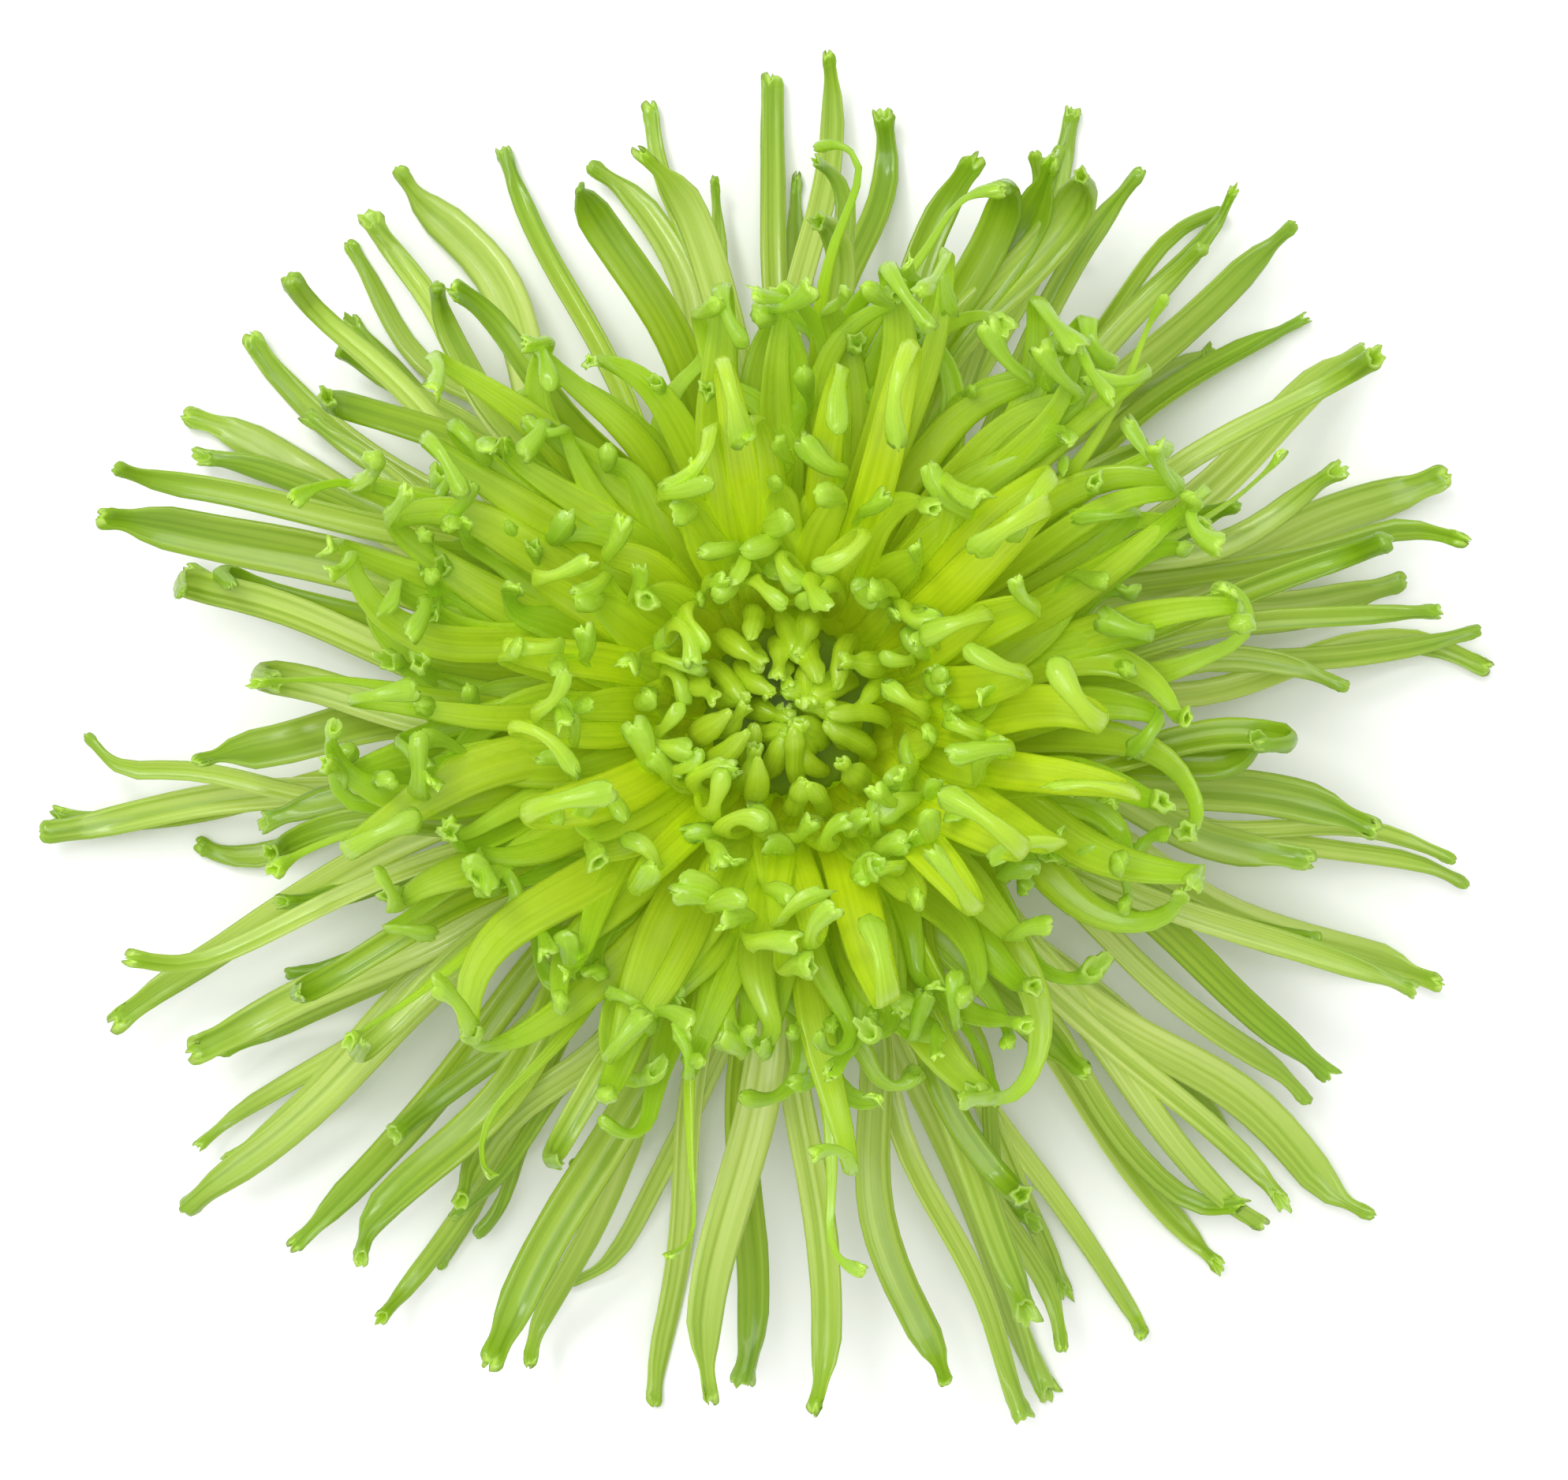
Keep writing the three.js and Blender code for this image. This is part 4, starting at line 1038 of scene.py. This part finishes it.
def turned(name, profile, around, ripple=0.0, waves=0, shift=0.0):
    """A closed solid of revolution from [radius, height] pairs, its sides rippled by ribs."""
    angles = np.linspace(0, 2 * math.pi, around, endpoint=False)
    points, faces = [], []
    for level, (radius, height) in enumerate(profile):
        for angle in angles:
            r = radius * (1 + ripple * math.cos(waves * angle + level * shift))
            points.append((AXIS[0] + r * math.cos(angle), AXIS[1] + r * math.sin(angle), height))
    for level in range(len(profile) - 1):
        for k in range(around):
            a, b = level * around + k, level * around + (k + 1) % around
            faces.append((a, b, b + around, a + around))
    faces.append(tuple(reversed(range(around))))
    top = (len(profile) - 1) * around
    faces.append(tuple(range(top, top + around)))
    mesh = bpy.data.meshes.new(name)
    mesh.from_pydata((np.array(points) * MM).tolist(), [], faces)
    mesh.polygons.foreach_set("use_smooth", [True] * len(faces))
    piece = bpy.data.objects.new(name, mesh)
    bpy.context.scene.collection.objects.link(piece)
    return piece


ovaries = turned(
    "packed_ovaries", OVARY_PROFILE, around=OVARIES_AROUND * 4, ripple=0.02, waves=OVARIES_AROUND,
    shift=1.9)
# Painted shade: the ovaries get a dark green that stands for the shade between the florets.
OVARY_SHADE_GREEN = (0.19, 0.30, 0.015)
ONE_COLOR = [(0, OVARY_SHADE_GREEN), (1, OVARY_SHADE_GREEN)]
ovaries.data.materials.append(
    petal_material("ovary_green", pale=ONE_COLOR, green=ONE_COLOR, lip=OVARY_SHADE_GREEN))
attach(ovaries, "root")


# ---- Bracts ----
# The cup under the bloom is of thin leathery bracts that overlap like tiles in three rows, green
# along the middle and papery and pale at their margins.

BRACT_ROWS = [
    dict(count=13, turn=4, width=4.3, foot=(6.3, 5.8), tip=(9.7, 9.2)),
    dict(count=13, turn=18, width=4.0, foot=(5.7, 5.4), tip=(9.5, 8.1)),
    dict(count=9, turn=30, width=3.6, foot=(5.3, 5.1), tip=(8.7, 6.9)),
]
BRACT_OUTLINE = [(0, 0.6), (0.2, 0.85), (0.5, 1), (0.75, 0.8), (0.92, 0.38), (1, 0.06)]
BRACT_HALF_DEPTH = 0.22
CUP_PROFILE = [(4.4, 5.2), (6.0, 5.4), (7.5, 6.5), (8.5, 8.0), (8.8, 9.3), (7.9, 9.7)]

bract_green, tree = empty_material("bract_green")
marks = tree.nodes.new("ShaderNodeGroup")
marks.node_tree = PETAL_MARKS
across = calc(tree, "ABSOLUTE", calc(tree, "COSINE", mark(tree, "turn")))
margin = ramp(tree, across, [(0.74, (0, 0, 0)), (0.93, (1, 1, 1))])
color = ramp(tree, mark(tree, "share"), [
    (0, (0.30, 0.42, 0.11)), (0.5, (0.17, 0.30, 0.045)), (1, (0.10, 0.20, 0.03))])
color = mixed(tree, margin, color, (0.62, 0.60, 0.33))
veins = ramp(tree, marks.outputs["Veins"], [(0.3, (0.7, 0.75, 0.6)), (0.7, (1, 1, 1))])
color = mixed(tree, 0.5, color, veins, "MULTIPLY")
bump = add(tree, "ShaderNodeBump", Strength=0.5, Distance=0.0001, Height=marks.outputs["Height"])
skin_on(
    tree, Base_Color=color, Roughness=0.55, Normal=bump.outputs[0], Subsurface_Weight=0.2,
    Subsurface_Radius=(1.0, 1.1, 0.3), Subsurface_Scale=0.001)


def bract_row(row, index, chance):
    """The stations of one bract, which lies along the cup from its foot to its point."""
    share = np.linspace(0, 1, 15)
    bearing = math.radians(row["turn"] + 360 / row["count"] * index + chance.normal(0, 2))
    out = np.array([math.cos(bearing), math.sin(bearing), 0])
    reach = 1 + chance.normal(0, 0.04)
    radius = row["foot"][0] + (row["tip"][0] - row["foot"][0]) * np.sin(share * math.pi / 2) * reach
    height = row["foot"][1] + (row["tip"][1] - row["foot"][1]) * share**1.5 * reach
    points = out * radius[:, None] + np.array([0, 0, 1]) * height[:, None]
    along = np.gradient(points, axis=0)
    along /= np.linalg.norm(along, axis=1, keepdims=True)
    side = np.tile(np.cross([0, 0, 1], out), (len(share), 1))
    wide = outline(share, BRACT_OUTLINE) * row["width"] / 2
    same = np.ones_like(share)
    return dict(
        spine=points * MM,
        along=along,
        side=side,
        above=np.cross(along, side),
        half_width=wide * MM,
        half_depth=same * BRACT_HALF_DEPTH * MM * (1 - 0.6 * share),
        share=share,
        groove=same * 0,
        gutter=wide**2 / 16 * MM,
        near_tip=same * 0,
        lobes=same * 0,
        teeth=same * 0,
        slant=same * 0,
        inside=same * 0,
        tone=same * 0,
        chance=same * chance.uniform(0, 50),
    )


chance = np.random.default_rng(55)
bract_rows = [bract_row(row, k, chance) for row in BRACT_ROWS for k in range(row["count"])]

bracts = grow(
    "bracts", bract_rows, TUBES, bract_green, points_around=16, ribs=3.0, rib_height=0.0,
    wrinkle_height=0.00008)
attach(bracts, "root")
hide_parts("involucre")

cup = turned("bract_cup", CUP_PROFILE, around=72, ripple=0.012, waves=13)
cup.data.materials.append(bract_green)
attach(cup, "root")


# ---- Stem ----
# The stem is solid green tissue with soft ribs and short white hairs, cut off square so that
# its pale pith shows, and it swells into the receptacle inside the bloom.

STEM_PROFILE = [
    (0.5, 0.0), (1.2, 0.0), (1.9, 0.0), (2.2, 0.14), (2.42, 0.4), (2.5, 0.8), (2.5, 3.0), (2.7, 3.8),
    (3.4, 4.6), (4.1, 5.6), (4.4, 7.2), (4.6, 9.2), (3.6, 14.8), (2.6, 19.6), (1.6, 20.2), (0.5, 20.4),
]
STEM_RIBS = 7
HAIRS_PER_MM2 = 14.0
HAIR_LENGTH = 0.45
HAIR_RADIUS = 0.025
HAIRS_FROM, HAIRS_TO = 0.6, 5.4  # heights on the stem

stem_green, tree = empty_material("stem_green")
where = add(tree, "ShaderNodeTexCoord").outputs["Object"]
parts = add(tree, "ShaderNodeSeparateXYZ", Vector=where)
streaks = add(tree, "ShaderNodeMapping", Vector=where, Scale=(1, 1, 0.08)).outputs[0]
streaks = add(tree, "ShaderNodeTexNoise", Vector=streaks, Scale=2200.0, Detail=3.0).outputs[0]
color = ramp(tree, streaks, [(0.35, (0.15, 0.25, 0.035)), (0.65, (0.28, 0.40, 0.08))])
cut = ramp(tree, calc(tree, "MULTIPLY", parts.outputs["Z"], 1000.0), [(0.1, (1, 1, 1)), (0.35, (0, 0, 0))])
color = mixed(tree, cut, color, (0.58, 0.62, 0.32))
bump = add(tree, "ShaderNodeBump", Strength=0.5, Distance=0.0001, Height=streaks)
skin_on(tree, Base_Color=color, Roughness=0.6, Normal=bump.outputs[0])

stem = turned("stem", STEM_PROFILE, around=84, ripple=0.025, waves=STEM_RIBS)
stem.data.materials.append(stem_green)
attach(stem, "root")
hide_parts("stem_and_receptacle")

hair_white, tree = empty_material("hair_white")
glint = add(tree, "ShaderNodeTexNoise", Scale=900.0).outputs[0]
color = ramp(tree, glint, [(0.3, (0.62, 0.68, 0.45)), (0.7, (0.85, 0.88, 0.75))])
skin_on(tree, Base_Color=color, Roughness=0.5)


def hair_tree():
    """Stands short hairs on the outside of what it is given, all over and a little aslant."""
    tree, given = new_tree("Hairs on a stem", "Skin", {
        "Density": 1.0e7,
        "Length": 0.0004,
        "Radius": 0.00002,
        "Lowest": 0.0,
        "Highest": 1.0,
    }, "Hairs")
    place = tree.nodes.new("GeometryNodeInputPosition").outputs[0]
    parts = add(tree, "ShaderNodeSeparateXYZ", Vector=place)
    above = calc(tree, "GREATER_THAN", parts.outputs["Z"], given["Lowest"])
    below = calc(tree, "LESS_THAN", parts.outputs["Z"], given["Highest"])
    feet = add(
        tree, "GeometryNodeDistributePointsOnFaces", Mesh=given["Skin"],
        Density=given["Density"], Selection=calc(tree, "MULTIPLY", above, below), Seed=7)
    lean = add(
        tree, "FunctionNodeRandomValue", dict(data_type="FLOAT_VECTOR"), Min=(-0.5, -0.5, -0.2),
        Max=(0.5, 0.5, 0.8), Seed=3)
    aim = summed(tree, feet.outputs["Normal"], lean.outputs[0])
    turned_to = add(tree, "FunctionNodeAlignRotationToVector", dict(axis="Z"), Vector=aim)
    hair = add(
        tree, "GeometryNodeMeshCone", Vertices=4, Radius_Top=0.0, Radius_Bottom=given["Radius"],
        Depth=given["Length"])
    stood = add(
        tree, "GeometryNodeInstanceOnPoints", Points=feet.outputs["Points"],
        Instance=hair.outputs["Mesh"], Rotation=turned_to.outputs[0])
    end_tree(tree, stood.outputs[0], given["Material"])
    return tree


hairs = made_by(
    hair_tree(), stem, "stem_hairs", density=HAIRS_PER_MM2 / MM**2, length=HAIR_LENGTH * MM,
    radius=HAIR_RADIUS * MM, lowest=HAIRS_FROM * MM, highest=HAIRS_TO * MM, material=hair_white)
hairs.data.materials.pop(index=0)  # the empty slot that the cones bring
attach(hairs, "root")


# ---- Floor and light ----
# A plain pale surface under soft studio light from overhead, with a small lamp for glints.

AMBIENT = 0.8
BACKDROP = 1.0
REACH = 3.0  # from the middle of the floor to its edges, m
floor_mesh = bpy.data.meshes.new("floor")
floor_mesh.from_pydata(
    [(-REACH, -REACH, 0), (REACH, -REACH, 0), (REACH, REACH, 0), (-REACH, REACH, 0)], [],
    [(0, 1, 2, 3)])
floor = bpy.data.objects.new("floor", floor_mesh)
bpy.context.scene.collection.objects.link(floor)
paper, tree = empty_material("floor_paper")
skin_on(tree, Base_Color=(0.95, 0.95, 0.95, 1), Roughness=0.9)
floor_mesh.materials.append(paper)

world = bpy.data.worlds.new("studio")
world.use_nodes = True
studio = world.node_tree
studio.nodes["Background"].inputs["Color"].default_value = (1, 1, 1, 1)
seen = add(studio, "ShaderNodeLightPath").outputs["Is Camera Ray"]
studio.links.new(
    calc(studio, "MULTIPLY_ADD", seen, BACKDROP - AMBIENT, AMBIENT),
    studio.nodes["Background"].inputs["Strength"])
bpy.context.scene.world = world

overhead = bpy.data.lights.new("overhead", "SUN")
overhead.energy = 1.4
overhead.angle = math.radians(40)
overhead_lamp = bpy.data.objects.new("overhead", overhead)
overhead_lamp.rotation_euler = Vector((-0.15, 0.1, 1)).to_track_quat("Z", "Y").to_euler()
bpy.context.scene.collection.objects.link(overhead_lamp)


def softbox(name, place, size, power):
    """A square area light that faces the bloom."""
    light = bpy.data.lights.new(name, "AREA")
    light.size = size
    light.energy = power
    lamp = bpy.data.objects.new(name, light)
    lamp.location = place
    lamp.rotation_euler = (Vector((0, 0, 0.02)) - Vector(place)).to_track_quat("-Z", "Y").to_euler()
    bpy.context.scene.collection.objects.link(lamp)


softbox("key", place=(-0.35, 0.45, 0.75), size=0.2, power=2.0)
bpy.context.scene.view_settings.view_transform = "Standard"
